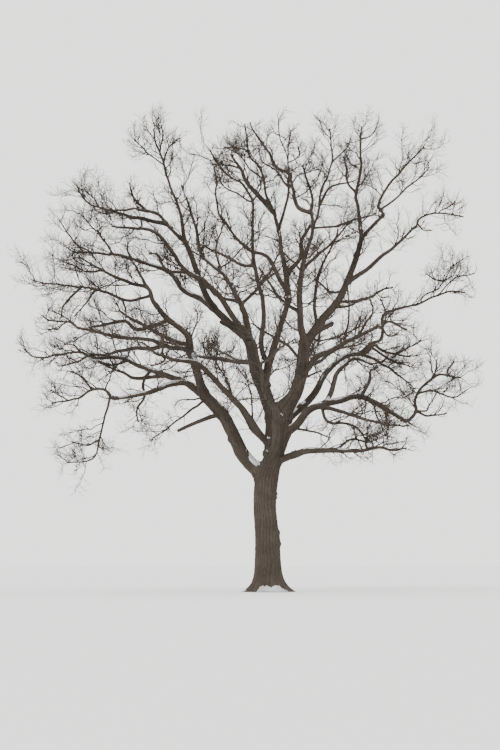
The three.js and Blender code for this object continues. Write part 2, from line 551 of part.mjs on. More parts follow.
// A mass: its stem, arms and twigs fused, cut clear of the limbs, with any loose scrap dropped.
function massSolid(mass, index) {
  let solid = limbSolid(axes[index][0]);
  axes[index].forEach((axis, i) => {
    if (i > 0) {
      solid = solid.add(limbSolid(axis));
    }
    const { course, joints, girth } = axis;
    const twigs = growTwigs(numberOf(index + 1, i), joints, course.getLength(), girth, 0, index);
    for (const { run, thick } of twigs) {
      solid = solid.add(twigSolid(run, thick));
    }
  });
  for (const { swollen } of limbs.values()) {
    solid = solid.subtract(swollen);
  }
  return largest(solid);
}

function meshOf(name, solid, color) {
  const { vertProperties, triVerts } = solid.getMesh();
  const geometry = new THREE.BufferGeometry();
  geometry.setAttribute('position', new THREE.BufferAttribute(vertProperties, 3));
  geometry.setIndex(new THREE.BufferAttribute(triVerts, 1));
  geometry.computeVertexNormals();
  const mesh = new THREE.Mesh(geometry, new THREE.MeshStandardMaterial({ color, roughness: 0.95, metalness: 0 }));
  mesh.name = name;
  return mesh;
}

const tree = new THREE.Group();
for (const [name, limb] of limbs) {
  tree.add(meshOf(name === 'trunk' ? name : `bough_${name}`, limb.solid, BARK));
}
MASSES.forEach((mass, index) => {
  tree.add(meshOf(`twigs_${mass.on}`, massSolid(mass, index), TWIG_BARK));
});

export default tree;
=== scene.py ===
# A bare oak in winter, dressed round its solids: bark, snow, and the twigs grown on to their finest.
# Metres, +Z up. The limbs take the places that the solids take, and the twigs grow by the same seeded rule.

import itertools
import json
import math
from dataclasses import dataclass

import bpy
import numpy as np
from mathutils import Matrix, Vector

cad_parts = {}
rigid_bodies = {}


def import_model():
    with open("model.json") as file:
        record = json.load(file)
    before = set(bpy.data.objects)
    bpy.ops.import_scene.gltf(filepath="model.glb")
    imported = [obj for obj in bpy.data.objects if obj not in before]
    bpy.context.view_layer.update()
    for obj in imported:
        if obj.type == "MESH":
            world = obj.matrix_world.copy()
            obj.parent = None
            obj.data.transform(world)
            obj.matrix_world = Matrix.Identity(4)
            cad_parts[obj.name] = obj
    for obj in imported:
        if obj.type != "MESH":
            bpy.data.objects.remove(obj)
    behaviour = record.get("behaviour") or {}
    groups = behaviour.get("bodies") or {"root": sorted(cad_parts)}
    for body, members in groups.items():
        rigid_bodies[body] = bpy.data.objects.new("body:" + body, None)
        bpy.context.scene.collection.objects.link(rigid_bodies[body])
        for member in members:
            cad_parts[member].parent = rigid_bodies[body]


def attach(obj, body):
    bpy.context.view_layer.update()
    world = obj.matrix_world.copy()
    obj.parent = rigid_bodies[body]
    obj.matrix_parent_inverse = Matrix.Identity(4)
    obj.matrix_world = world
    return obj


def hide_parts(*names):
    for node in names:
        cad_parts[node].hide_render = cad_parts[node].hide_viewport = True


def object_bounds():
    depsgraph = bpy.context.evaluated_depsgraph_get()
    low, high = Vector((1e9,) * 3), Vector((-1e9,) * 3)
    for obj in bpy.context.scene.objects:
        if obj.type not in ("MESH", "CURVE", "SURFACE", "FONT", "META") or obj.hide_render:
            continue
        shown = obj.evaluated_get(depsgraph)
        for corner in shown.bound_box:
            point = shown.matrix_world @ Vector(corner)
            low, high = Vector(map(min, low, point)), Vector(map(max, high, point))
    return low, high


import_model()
cad_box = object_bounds()

# The tables give places as (across, up), as they look from this far in front of the trunk.
EYE = np.array((-0.65, -60.0, 1.0))

# The trunk: its height, its lean, and half of its width, each by height.
TRUNK_HEIGHT = 6.95
TRUNK_GIRTH = (0.94, 0.7)
TRUNK_LEAN = ((0, 0), (0, 2), (-0.095, 3.2), (-0.01, 4.3), (0.23, 5.1), (0.4, 6), (0.48, 6.95))
TRUNK_HALF_WIDTH = (
    (0.47, 0), (0.47, 1.5), (0.43, 3.2), (0.44, 4.3), (0.375, 5), (0.45, 5.6), (0.49, 6.2), (0.43, 6.6),
    (0.24, 6.95),
)

# The root flare: a swelling all round, and toes (azimuth, width, fade) that run out over the ground.
FLARE_WIDE = 0.17
FLARE_FADE = 0.26
TOE_SPREAD = 0.42
TOES = (
    (0, 0.42, 0.4), (68, 0.26, 0.24), (128, 0.33, 0.3), (184, 0.34, 0.23), (247, 0.3, 0.33), (305, 0.28, 0.26),
)

# Each bough: its name, the limb it leaves and where, its depth at the tip, its diameter at the root and at the
# tip, and the places it bends through. A place with a third value has that depth.
BOUGHS = (
    ("left_low", "trunk", (0, 4.25), -0.3, (0.56, 0.43),
     ((-0.75, 4.95), (-1.15, 5.7), (-1.6, 6.55), (-2.45, 7.45))),
    ("leader_left", "trunk", (0.4, 6.15), 0.15, (0.6, 0.43), ((0, 7.25), (-0.35, 8.25), (-0.65, 9.5))),
    ("leader_right", "trunk", (0.45, 6.2), -0.15, (0.58, 0.43), ((1.05, 7.55), (1.35, 8.45), (1.45, 9.45))),
    ("left_level", "left_low", (-2.45, 7.45), 1.7, (0.26, 0.12),
     ((-3, 7.8), (-3.85, 8.2), (-4.9, 8.55), (-5.5, 8.85), (-6.55, 8.85))),
    ("left_low_arm", "left_low", (-2.4, 7.4), -1.7, (0.25, 0.13),
     ((-3.05, 7.85), (-3.75, 7.8), (-4.55, 7.55), (-5.7, 7.3))),
    ("left_riser", "left_low", (-2.35, 7.3), -1.2, (0.36, 0.18),
     ((-2.65, 8.25), (-2.95, 9.1), (-3, 9.7), (-3.85, 10.4), (-4.25, 10.9))),
    ("left_reach", "left_riser", (-2.95, 9.15), -3.3, (0.18, 0.09),
     ((-3.7, 9.25), (-4.5, 9.55), (-5.25, 9.6), (-7.2, 10))),
    ("left_second", "trunk", (0.25, 5.35), -4.4, (0.27, 0.15),
     ((-0.35, 6, -0.5), (-0.95, 6.9, -1.3), (-1.7, 7.7, -2.1), (-2.55, 8.6, -3), (-3.65, 8.8))),
    ("leader_mid", "leader_left", (-0.1, 7.7), 1.6, (0.32, 0.2), ((0.1, 8.7), (0.4, 9.65), (0.85, 11.1))),
    ("cross_left", "leader_left", (-0.45, 8.7), 4.5, (0.23, 0.12),
     ((-1.05, 8.7, 1.4), (-1.85, 8.8, 3), (-2.7, 8.95))),
    ("upper_left", "leader_left", (-0.65, 9.5), 1.1, (0.32, 0.14),
     ((-1.35, 10.1), (-2.15, 10.85), (-3.2, 11.5), (-3.75, 12.15), (-5, 12.65))),
    ("spire_left", "upper_left", (-2, 10.75), -0.9, (0.26, 0.11),
     ((-2.4, 11.4), (-2.75, 12.3), (-3.1, 13.3), (-3.3, 14.25), (-3.5, 15))),
    ("spear_left", "leader_left", (-0.6, 9.5), 2.9, (0.23, 0.08),
     ((-0.9, 10.7), (-1.6, 12), (-2.5, 12.9), (-2.7, 13.8), (-3.3, 15.6))),
    ("centre_left", "leader_mid", (0.05, 8.6), -3.3, (0.22, 0.11),
     ((-0.2, 9.3, -0.5), (-0.1, 10.7, -1.4), (-0.5, 12.5, -2.3), (-0.55, 14.15))),
    ("crown_centre", "leader_mid", (0.85, 11.1), 1.9, (0.23, 0.12),
     ((0.75, 11.95), (0.6, 12.95), (0.4, 14), (0.05, 15.05))),
    ("crown_right", "crown_centre", (0.5, 13.8), 0.9, (0.14, 0.075),
     ((0.65, 14.55), (0.8, 15.35), (0.85, 16.3))),
    ("right_upper", "leader_right", (1.45, 9.45), 0.7, (0.36, 0.17),
     ((2.05, 10.2), (2.75, 11.15), (3.2, 12.1), (3.65, 13.5), (3.6, 14))),
    ("right_inner", "leader_right", (1.45, 9.35), -2.1, (0.28, 0.14),
     ((1.25, 10.3), (1.25, 11.25), (1.4, 12.35), (1.7, 13.5))),
    ("cross_top", "crown_centre", (0.8, 11.35), 0.3, (0.18, 0.09),
     ((0.45, 11.9), (0.05, 12.75), (-0.65, 13.05), (-1.2, 13.6), (-1.8, 14.4))),
    ("right_far_upper", "right_upper", (3.05, 11.75), 1.9, (0.2, 0.09),
     ((4, 12.45), (5, 13.25), (5.7, 13.95))),
    ("right_horn", "right_upper", (3.6, 13.5), -0.7, (0.15, 0.13), ((4, 13.9), (4.45, 14.35))),
    ("right_mid", "trunk", (0.5, 6), 2.1, (0.33, 0.17),
     ((1.05, 6.7), (1.7, 7.35), (2.2, 8.2), (2.9, 8.85), (3.65, 9.05))),
    ("right_reach", "right_mid", (3.6, 9.05), 0.9, (0.16, 0.09),
     ((4, 9.4), (4.35, 9.55), (4.5, 10.5), (4.9, 10.7), (5.7, 10.9))),
    ("right_high_mid", "leader_right", (1.3, 8.1), -4.7, (0.24, 0.11),
     ((1.85, 8.8, -1.2), (2.8, 9.35, -2.8), (3.45, 9.65), (4.2, 10.05))),
    ("right_lower", "trunk", (0.45, 5.65), -0.9, (0.34, 0.15),
     ((1.1, 6.3), (1.7, 6.95), (2.8, 7.25), (3.55, 7.4), (5.15, 6.5))),
    ("right_lower_front", "right_lower", (1.9, 7), -4.2, (0.18, 0.08),
     ((2.45, 6.9), (3.35, 6.65), (4.5, 6.3))),
    ("right_lowest", "trunk", (0.3, 4.85), -2, (0.3, 0.15), ((0.95, 5.1), (1.7, 5.3), (3.4, 5.3))),
    ("fan_left", "spire_left", (-3.15, 13.25), -2.4, (0.16, 0.1),
     ((-3.75, 13.9), (-4.15, 14.4), (-5, 14.65))),
    ("front_low", "trunk", (0.12, 4.85), -6, (0.33, 0.13),
     ((0.33, 5.85, -1), (0.27, 6.9, -2.5), (-0.06, 7.55, -4.2), (-0.26, 8.5))),
    ("front_high", "leader_right", (1.2, 8.2), -5.6, (0.28, 0.12),
     ((1.4, 9.3, -1.5), (1.25, 10.4, -2.7), (1.25, 11.25, -4.3), (1.35, 12.05))),
    ("back_low", "trunk", (0.47, 6.15), 6.2, (0.36, 0.13),
     ((0.9, 7.2, 1.3), (1.35, 8.5, 3), (1.25, 8.9, 4.7), (1.9, 9.3))),
    ("back_high", "leader_left", (-0.18, 8), 5.8, (0.31, 0.12),
     ((-0.8, 10.15, 1.2), (-1.05, 11, 2.6), (-1.4, 11.7, 4.2), (-1.75, 12.2))),
)

# Dead limbs that broke off short, written as the boughs are.
SNAGS = (
    ("snag_low", "left_low", (-1.75, 6.7), -0.9, (0.19, 0.12), ((-2.3, 6.55), (-3.4, 6.05))),
    ("snag_right", "right_upper", (1.75, 9.9), 0.45, (0.25, 0.22), ((2.5, 10.2),)),
    ("snag_left", "upper_left", (-0.9, 9.7), -0.3, (0.2, 0.17), ((-1.3, 9.95), (-1.75, 10.25))),
)

# Each mass grows on from the tip of its bough: its depth and places, and the arms that leave it.
MASSES = (
    ("left_level", 2.6, ((-7.15, 9.05), (-8.05, 9), (-8.85, 8.9), (-9.3, 9.2)), (
        ((-6.75, 8.9), 3.2, ((-7.15, 8.7), (-8, 8.55))),
        ((-7.15, 9.05), 1.6, ((-7.35, 9.3), (-7.8, 9.35))))),
    ("left_low_arm", -2.4, ((-6.2, 7.65), (-6.75, 7.6), (-7.25, 7.3), (-8.2, 7.1)), (
        ((-5.8, 7.3), -1.5, ((-6.2, 6.6), (-6.45, 5.7), (-6.6, 5.05), (-7.6, 4.85))),
        ((-7.6, 7.2), -3.2, ((-7.9, 7.35), (-8.25, 7.6))))),
    ("left_riser", -0.5, ((-4.55, 11.5), (-5.4, 11.8), (-6.1, 12.2), (-7.25, 12.8)), (
        ((-4.25, 10.95), -2, ((-5.3, 11.05), (-6.25, 11.4), (-7.9, 11.65), (-9, 11.85))),
        ((-6.3, 12.3), 0.4, ((-7, 12.2), (-7.85, 12.6))))),
    ("left_reach", -4.3, ((-7.6, 10.15), (-8.25, 10.3), (-8.6, 10.5)), (
        ((-7.7, 10.2), -5, ((-8, 10.05), (-8.4, 9.95))),
        ((-7.4, 10.05), -3.3, ((-7.85, 10.55), (-8.25, 10.7))))),
    ("left_second", -6.3, ((-4.1, 9.05), (-4.8, 9.45)), (
        ((-3.9, 8.95), -5.6, ((-4.1, 8.7), (-4.45, 8.55))),
        ((-4, 9), -5.5, ((-4.05, 9.45), (-4.5, 10.25))))),
    ("cross_left", 6.5, ((-3, 9.1), (-3.4, 9.3), (-4.1, 9.55)), (
        ((-2.8, 9), 5.9, ((-2.8, 9.75), (-2.65, 10.55), (-2.8, 10.75))),
        ((-2.9, 9.05), 5.2, ((-3.3, 8.9), (-4.1, 8.5))))),
    ("upper_left", 1.9, ((-5.95, 12.95), (-6.5, 12.95), (-7.45, 13), (-7.65, 13.1)), (
        ((-5.95, 12.95), 2.7, ((-6.3, 13.45), (-6.75, 13.95), (-7.25, 14.5))),
        ((-6.7, 12.95), 1, ((-7.35, 13.25), (-7.85, 13.95), (-8.05, 14.25))))),
    ("spire_left", -1, ((-3.75, 15.8), (-3.95, 16.5), (-4.35, 17.4), (-4.4, 17.85)), (
        ((-3.9, 16.4), -1.7, ((-4.2, 16.55), (-4.85, 17.1), (-5.15, 17.45))),
        ((-3.95, 16.5), -0.1, ((-3.85, 16.85), (-3.35, 17.45))))),
    ("fan_left", -3.1, ((-5.5, 14.6), (-6.45, 14.75), (-7.05, 15.15), (-7.35, 15.6)), (
        ((-6.5, 14.75), -3.3, ((-6.6, 15), (-7.05, 15.5))),
        ((-6.2, 14.65), -2.3, ((-6.1, 14.45), (-6.05, 14.2))))),
    ("centre_left", -4.2, ((-0.6, 15.1), (-1.05, 15.8), (-1.5, 16), (-2.2, 17)), (
        ((-0.55, 14.95), -4.9, ((-0.8, 15), (-1.7, 15.55), (-1.85, 15.9))),
        ((-0.55, 14.95), -5, ((-0.35, 15.4), (-0.2, 15.9))))),
    ("crown_centre", 1.9, ((-0.15, 15.85), (-0.35, 16.4), (-0.7, 16.95), (-0.85, 18.05)), (
        ((-0.65, 16.85), 2.9, ((-0.9, 17.05), (-1.6, 17.1))),
        ((-0.2, 15.9), 3.5, ((-0.75, 16.3), (-1.05, 16.75), (-1.65, 17.1))))),
    ("crown_right", 0.7, ((0.85, 16.6), (0.95, 17.4), (0.95, 17.75)), (
        ((0.85, 16.6), 0.2, ((0.55, 17.4), (0.45, 18.2))),
        ((0.85, 16.3), 1.7, ((1.2, 16.65), (1.25, 17.1))))),
    ("cross_top", 0.3, ((-1.9, 15.2), (-1.9, 15.65), (-2.05, 16.35)), (
        ((-1.9, 15.65), -0.3, ((-1.8, 15.95), (-1.75, 16.3))),)),
    ("right_inner", -2.4, ((1.65, 14.6), (1.7, 15.1), (1.5, 15.95), (1.4, 16.4)), (
        ((1.8, 13.75), -3, ((1.95, 14.45), (2.05, 15.35), (2.55, 16.5), (2.45, 17.85))),
        ((1.7, 13.7), -3.4, ((2.45, 14), (3.45, 14.25), (4.25, 14.5))))),
    ("right_upper", 0.7, ((3.5, 14.55), (3.4, 15.2), (3.65, 16.3), (3.7, 17.95)), (
        ((3.65, 17.4), 0.3, ((4, 17.6), (4.35, 18.15))),
        ((3.4, 15.3), 1.5, ((3.15, 15.8), (3, 16.75))))),
    ("right_horn", -0.9, ((4.35, 14.8), (4.65, 15.5), (5.2, 16.15), (6.1, 17.15)), (
        ((4.4, 14.6), -1.5, ((4.95, 15), (5.4, 15.5), (6.3, 16.3))),)),
    ("right_far_upper", 2.4, ((5.9, 14.35), (6.45, 14.55), (7.6, 14.35)), (
        ((6.6, 14.55), 3, ((6.75, 14.65), (7.3, 14.95))),
        ((5.75, 14.05), 1.7, ((6, 13.8), (6.35, 13.8))))),
    ("right_mid", 3.3, ((4.2, 9.35), (4.55, 9.15), (5.45, 8.9)), (
        ((4, 9.25), 2.7, ((4.8, 8.75), (5.6, 8.45))),
        ((4.9, 9.05), 4, ((5.55, 9.25), (5.9, 9.55))))),
    ("right_reach", 0.6, ((6.5, 11.2), (7, 11.45), (7.6, 11.4)), (
        ((5.85, 10.95), 1.5, ((5.9, 11.2), (6.55, 11.65), (7.2, 12.5))),
        ((6.55, 11.25), -0.3, ((7.15, 11.8), (8, 12.15))))),
    ("right_high_mid", -6.5, ((4.45, 9.95), (4.75, 10.2), (5.35, 9.95)), (
        ((4.35, 10), -5.7, ((4.5, 10.45), (4.35, 11.15))),
        ((4.45, 9.9), -5.9, ((4.6, 9.7), (5.05, 9.85))))),
    ("right_lower", -1.5, ((5.65, 6.9), (5.65, 7.3), (6.4, 8.1), (7.4, 8.1)), (
        ((5.65, 6.8), -0.5, ((6.3, 6.7), (6.85, 6.75))),
        ((5.7, 7.5), -2.2, ((6.3, 7.65), (7.1, 7.4), (7.65, 7.65))))),
    ("right_lower_front", -5.9, ((4.95, 6.3), (5.4, 6.25)), (
        ((4.6, 6.3), -5.2, ((4.5, 6.05), (4.6, 5.7))),
        ((4.65, 6.3), -5.6, ((4.5, 6.65), (4.4, 7))))),
    ("right_lowest", -2.7, ((4.2, 5.35), (4.75, 5.3), (5.3, 5.4)), (
        ((3.8, 5.4), -3.5, ((3.8, 5.75), (4.3, 6))),)),
    ("front_low", -7.3, ((-0.5, 9.3), (-0.9, 10.1)), (
        ((-0.3, 8.6), -7, ((-1.3, 8.9), (-2.3, 9.4))),
        ((-0.3, 8.6), -7.3, ((0.4, 9), (1.1, 9.6))))),
    ("front_high", -6.7, ((1.4, 12.9), (1.25, 13.75)), (
        ((1.35, 12.1), -6.9, ((1.6, 12.75), (2.15, 13.4))),
        ((1.35, 12.1), -7.1, ((1.1, 12.6), (0.5, 13.05))))),
    ("back_low", 7.5, ((2.1, 10.2), (2.6, 11.1)), (
        ((1.95, 9.5), 7.5, ((2.8, 9.7), (3.7, 10.1))),
        ((1.95, 9.5), 7.8, ((1.3, 9.8), (0.7, 10.3))))),
    ("back_high", 7, ((-1.9, 13.1), (-1.7, 14)), (
        ((-1.8, 12.3), 7.2, ((-2.5, 12.7), (-3.3, 13.3))),
        ((-1.8, 12.3), 7, ((-1.1, 12.9), (-0.5, 13.5))))),
)

# Thinner limbs than the solids hold, written as the boughs are. Each carries twigs of its own.
SIDE_LIMBS = (
    ("hanger", "left_level", (-4.45, 8.35), -0.4, (0.1, 0.045),
     ((-4.7, 8), (-4.65, 7.35), (-4.95, 6.9), (-4.9, 6.4))),
    ("drooper", "left_low", (-2.45, 7.2), -1.2, (0.08, 0.03), ((-2.8, 7), (-3.65, 6.3), (-4.35, 5.8))),
    ("curl", "left_low", (-2.6, 7.1), -0.9, (0.06, 0.025), ((-2.9, 7.3), (-3.4, 7.25), (-3.55, 6.95))),
    ("riser_high", "left_riser", (-3.8, 10.3), -0.3, (0.14, 0.06),
     ((-4.2, 10.15), (-5, 10), (-5.35, 10.2), (-6.8, 10.05))),
    ("riser_stub", "left_riser", (-2.95, 9.35), -2.2, (0.14, 0.05),
     ((-3.5, 9.5), (-4.2, 9.95), (-4.9, 10.2), (-5.7, 10.7))),
    ("riser_third", "left_reach", (-4, 9.35), -1.5, (0.14, 0.06),
     ((-4.4, 9.2), (-5.2, 9.2), (-6.1, 9), (-6.75, 9))),
    ("level_low", "left_level", (-3.85, 8.2), 1.3, (0.13, 0.05),
     ((-4.3, 8.1), (-5.05, 8.1), (-5.65, 8.4), (-6.5, 8.75))),
    ("level_side", "left_level", (-5.3, 8.75), 1, (0.09, 0.04), ((-5.9, 8.65), (-6.45, 8.7))),
    ("arm_rise", "left_low_arm.0", (-6.7, 7.65), -1.9, (0.07, 0.035), ((-6.9, 7.85), (-7.65, 8.35))),
    ("arm_link", "left_low_arm.0", (-6.2, 7.65), -1.6, (0.05, 0.035), ((-6.1, 7.95), (-5.9, 8.4))),
    ("arm_low", "left_low_arm.1", (-6.45, 5.7), -1, (0.06, 0.03), ((-6.75, 5.6), (-7.45, 5.65))),
    ("trunk_left", "trunk", (0.2, 5.55), -1.2, (0.11, 0.03),
     ((-0.65, 6.2), (-1.2, 7.05), (-1.6, 8.25), (-1.75, 8.75))),
    ("trunk_right", "trunk", (0.65, 6), -0.6, (0.09, 0.035), ((1.2, 6.2), (1.65, 6.1), (2.4, 5.8))),
    ("second_up", "left_second", (-0.6, 6.3), -1.3, (0.06, 0.025), ((-0.6, 6.95), (-0.75, 7.8), (-0.8, 8.4))),
    ("second_fine", "left_second", (-1.3, 7.25), -2.4, (0.06, 0.025), ((-1.5, 8), (-1.9, 8.7), (-1.8, 9.4))),
    ("upper_second", "leader_left", (-0.65, 9.6), -2, (0.19, 0.06),
     ((-1.45, 10.7), (-2.4, 11.75), (-3.05, 12.1), (-4.3, 13.7), (-6, 14))),
    ("upper_cross", "upper_second", (-3.1, 12.1), -0.9, (0.1, 0.05),
     ((-3.8, 12.35), (-4.25, 12.85), (-4.55, 12.9))),
    ("cross_fan", "cross_left", (-2.1, 8.8), 3.6, (0.07, 0.035), ((-2.3, 9.15), (-2.5, 9.45))),
    ("centre_side", "centre_left", (-0.5, 12.4), -2.7, (0.1, 0.03),
     ((-1.05, 12.55), (-1.65, 12.9), (-2.65, 13.3))),
    ("centre_link", "centre_left", (-0.2, 11.7), -1, (0.09, 0.06), ((0, 11.9), (0.45, 12.25))),
    ("centre_thick", "crown_centre", (0.2, 14.55), 1, (0.17, 0.06),
     ((-0.2, 15.05), (-0.8, 15.75), (-1, 16.25), (-1.4, 16.85))),
    ("top_left_fan", "centre_thick", (-1.05, 16.3), 1.6, (0.07, 0.035), ((-1.45, 16.4), (-2.15, 16.4))),
    ("diagonal", "crown_centre", (0.8, 12.05), 0.7, (0.15, 0.1), ((1.25, 12.9), (1.35, 13.3), (1.7, 14.05))),
    ("inner_side", "right_inner", (1.4, 12.15), -1.3, (0.12, 0.04), ((1.8, 12.7), (2.5, 13.3), (3.2, 14.15))),
    ("upper_thin", "right_upper", (1.9, 10), -0.9, (0.12, 0.04),
     ((1.85, 10.65), (2, 11.9), (2.45, 13.2), (2.75, 13.85))),
    ("upper_side", "right_upper", (2.9, 11.45), 1, (0.09, 0.04),
     ((2.45, 11.45), (2.05, 11.75), (1.8, 12.05))),
    ("upper_low", "right_upper", (2.7, 11), -0.7, (0.1, 0.045),
     ((3.25, 11.05), (3.8, 11.15), (4.2, 11.4), (4.85, 11.6))),
    ("upper_under", "right_upper", (2.6, 10.75), -0.4, (0.09, 0.05), ((3, 10.85), (3.4, 11))),
    ("mid_loop", "right_high_mid", (3.45, 9.75), -3.6, (0.08, 0.035),
     ((3.75, 10.05), (4.05, 10.8), (3.95, 11.1))),
    ("mid_upright", "right_high_mid", (3, 9.4), -3.3, (0.07, 0.03), ((3.1, 10.2), (3.05, 11), (3.1, 11.7))),
    ("mid_droop", "right_mid", (3.55, 9.05), 1.3, (0.1, 0.035), ((4.35, 8.6), (5.15, 8.1), (5.65, 7.65))),
    ("lower_rise", "right_lower", (2.25, 7.15), 0.4, (0.17, 0.07),
     ((2.45, 7.5), (2.7, 8.3), (3.35, 8.85), (4.05, 8.6))),
    ("lower_up", "right_lower", (3.6, 7.4), -0.5, (0.12, 0.04), ((3.95, 8), (4, 8.35), (4.25, 8.5))),
    ("lower_hang", "right_lower", (3.8, 7.35), -1.1, (0.07, 0.035), ((4.05, 7.05), (4.2, 6.55), (4.5, 5.85))),
    ("lower_droop", "right_lower_front", (2.1, 6.95), -2.7, (0.1, 0.04),
     ((2.4, 6.4), (3.1, 6.3), (3.8, 5.6))),
    ("lowest_tip", "right_lowest", (2.6, 5.3), -1.2, (0.08, 0.03), ((3.2, 5.75), (3.9, 5.7), (4.6, 5.95))),
    ("fan_second", "fan_left", (-4.65, 14.55), -1.7, (0.09, 0.04),
     ((-5.1, 15.05), (-5.2, 15.35), (-5.3, 15.7))),
    ("fan_third", "fan_left", (-3.9, 14.05), -1.5, (0.13, 0.07),
     ((-4.7, 14.2), (-5.7, 14.5), (-6.05, 14.65))),
    ("upper_fan", "upper_left.0", (-5.2, 12.8), 1, (0.07, 0.035), ((-5.4, 13.1), (-5.35, 13.5))),
    ("riser_link", "left_riser.0", (-4.55, 11.55), 0.2, (0.09, 0.05), ((-4.8, 11.95), (-5.25, 12.65))),
    ("riser_drop", "left_riser.1", (-6.6, 11.35), -2.4, (0.07, 0.035), ((-6.95, 10.95), (-7.4, 10.45))),
    ("riser_end", "left_riser.1", (-7.15, 11.45), -1.4, (0.08, 0.035), ((-7.7, 10.95), (-7.85, 10.4))),
    ("riser_fork", "left_riser.1", (-5.6, 11.15), -1.5, (0.07, 0.035), ((-5.45, 10.7), (-5.4, 10.25))),
    ("spire_mid", "spire_left.0", (-4, 17), -1.4, (0.06, 0.035), ((-4.05, 17.35), (-4.1, 18))),
    ("crown_tip", "crown_right", (0.85, 16.1), 1.6, (0.1, 0.04),
     ((0.35, 16.35), (-0.2, 17.25), (-0.6, 17.8), (-0.65, 18.1))),
    ("crown_out", "crown_right", (0.9, 15.5), 0.2, (0.06, 0.035), ((1.2, 15.9), (2, 16.25))),
    ("crown_back", "crown_right", (0.8, 15.5), 2.1, (0.08, 0.035), ((0.5, 16), (-0.2, 16.55))),
    ("inner_join", "right_inner.0", (1.65, 14.5), -1.5, (0.13, 0.07),
     ((1.25, 14.75), (1, 15.45), (0.9, 16.1))),
    ("inner_tip", "right_inner.1", (2.55, 16.5), -3.1, (0.055, 0.035), ((2.95, 17), (3.25, 17.45))),
    ("inner_out", "right_inner.1", (2, 14.85), -3.6, (0.09, 0.035),
     ((2.4, 15.45), (2.7, 15.6), (3.45, 15.8))),
    ("reach_fan", "right_reach.1", (6.75, 11.8), 1.4, (0.06, 0.035), ((6.5, 11.85), (6.1, 12.1))),
    ("lower_loop", "right_lower.0", (5.65, 6.85), -2, (0.06, 0.035), ((6.1, 6.9), (6.2, 7.15), (6.5, 7.6))),
    ("lower_end", "right_lower.0", (6.9, 8.1), -0.9, (0.06, 0.035), ((6.95, 8.4), (7.15, 8.8))),
    ("lower_spray", "right_lower.0", (6.35, 8.1), -1.6, (0.05, 0.035), ((6.5, 8.4), (6.5, 8.8))),
    ("front_side", "front_low", (0.1, 6.9), -5, (0.12, 0.05), ((0.6, 7.3), (1.2, 7.9), (1.9, 8.3))),
    ("front_rise", "front_high", (1.25, 10.6), -5.6, (0.11, 0.045), ((0.7, 11), (0.2, 11.6), (-0.3, 12.4))),
    ("back_side", "back_low", (1.35, 8.45), 5.6, (0.12, 0.05), ((2, 8.7), (2.8, 9.2), (3.6, 9.4))),
    ("back_left", "back_low", (1.3, 8.7), 5.2, (0.11, 0.045), ((0.8, 9.3), (0.1, 9.7), (-0.6, 10.2))),
    ("back_fan", "back_high", (-1.1, 11), 5.8, (0.11, 0.05), ((-1.9, 11.3), (-2.7, 11.9), (-3.3, 12.3))),
    ("back_rise", "back_high", (-1.05, 10.9), 4.8, (0.11, 0.045), ((-0.4, 11.5), (0.2, 12.3), (0.6, 13.2))),
)

# Where the twigs stand thickest, as seen from the front: each place and its reach.
THICKETS = (
    ((-4.5, 17.6), 0.9), ((-3.7, 17.05), 0.5), ((-4.05, 15.55), 0.4), ((-6.9, 15.3), 0.5), ((-7.9, 14.2), 0.4),
    ((-7.2, 13.85), 0.6), ((-6.3, 13.9), 0.4), ((-5.4, 13.35), 0.5), ((-5.8, 12.45), 0.5), ((-4.6, 13.2), 0.4),
    ((-8.35, 12.05), 0.7), ((-8.25, 11.1), 0.9), ((-5.1, 12.35), 0.4), ((-6.5, 10.65), 0.6), ((-6.8, 8.6), 0.8),
    ((-7.1, 9.55), 0.5), ((-8.2, 7.35), 0.6), ((-7.15, 5.65), 0.5), ((-7.55, 4.85), 0.6), ((-6.45, 5.9), 0.4),
    ((-3.8, 9.75), 0.4), ((-3.35, 10.85), 0.5), ((-2, 9.35), 0.5), ((-2, 8.2), 0.5), ((-0.45, 10.65), 0.5),
    ((1.6, 11.3), 0.5), ((0.35, 13.2), 0.5), ((-1.3, 14.5), 0.6), ((-1.35, 17.25), 0.4), ((1.35, 17), 0.6),
    ((-0.35, 14.6), 0.4), ((3.25, 16.6), 0.5), ((4.05, 15.3), 0.8), ((2.7, 14.8), 0.6), ((6.25, 12), 0.4),
    ((7.25, 12.2), 0.7), ((5.45, 8.95), 0.5), ((4.8, 8.7), 0.5), ((3.75, 8.1), 0.9), ((7.15, 8.8), 0.4),
    ((6, 8.2), 0.4), ((6.75, 7.3), 0.6), ((-4.85, 6.65), 0.4),
)

# The pieces that the twigs are joined into, each with the boughs whose masses it takes.
REGIONS = {
    "low_left": ("left_level", "left_low_arm", "left_second", "cross_left", "left_low"),
    "mid_left": ("left_riser", "left_reach", "upper_left", "trunk"),
    "top_left": ("spire_left", "fan_left", "centre_left", "cross_top", "spear_left"),
    "top": ("crown_centre", "crown_right", "right_inner", "leader_left", "leader_mid"),
    "top_right": ("right_upper", "right_horn", "right_far_upper", "leader_right"),
    "low_right": (
        "right_mid", "right_reach", "right_high_mid", "right_lower", "right_lower_front", "right_lowest",
    ),
    "front_back": ("front_low", "front_high", "back_low", "back_high"),
}

# A stem fits within its bough's tip, and an arm leaves it no nearer to its foot than FIRST_ARM, as a share.
STEM_FIT = 0.9
FIRST_ARM = 0.12
ARM_SHARE = 0.78
STEM_TIP = 0.058
ARM_TIP = 0.046
SIDE_GIRTH = 1.25
LIMB_TAPER = 1.4

# How far a limb sways in depth between its root and its tip, how far its kinks go sideways, and how long the
# runs between them are, each with its share.
SWAY = 0.32
BOUGH_CROOK = 0.045
STEM_CROOK = 0.085
KINKS = ((0.95, 1.0), (0.37, 0.42))

# The rule that the solids' twigs grow by.
GOLDEN_ANGLE = math.pi * (3 - math.sqrt(5))
CROOK = 0.3
LIFT = 0.16
FIRST_TWIG = 0.18
TWIG_SHARE = 0.62
LIMB_CLEARANCE = 0.04
MASS_MARGIN = 0.09
SAMPLE = 0.12

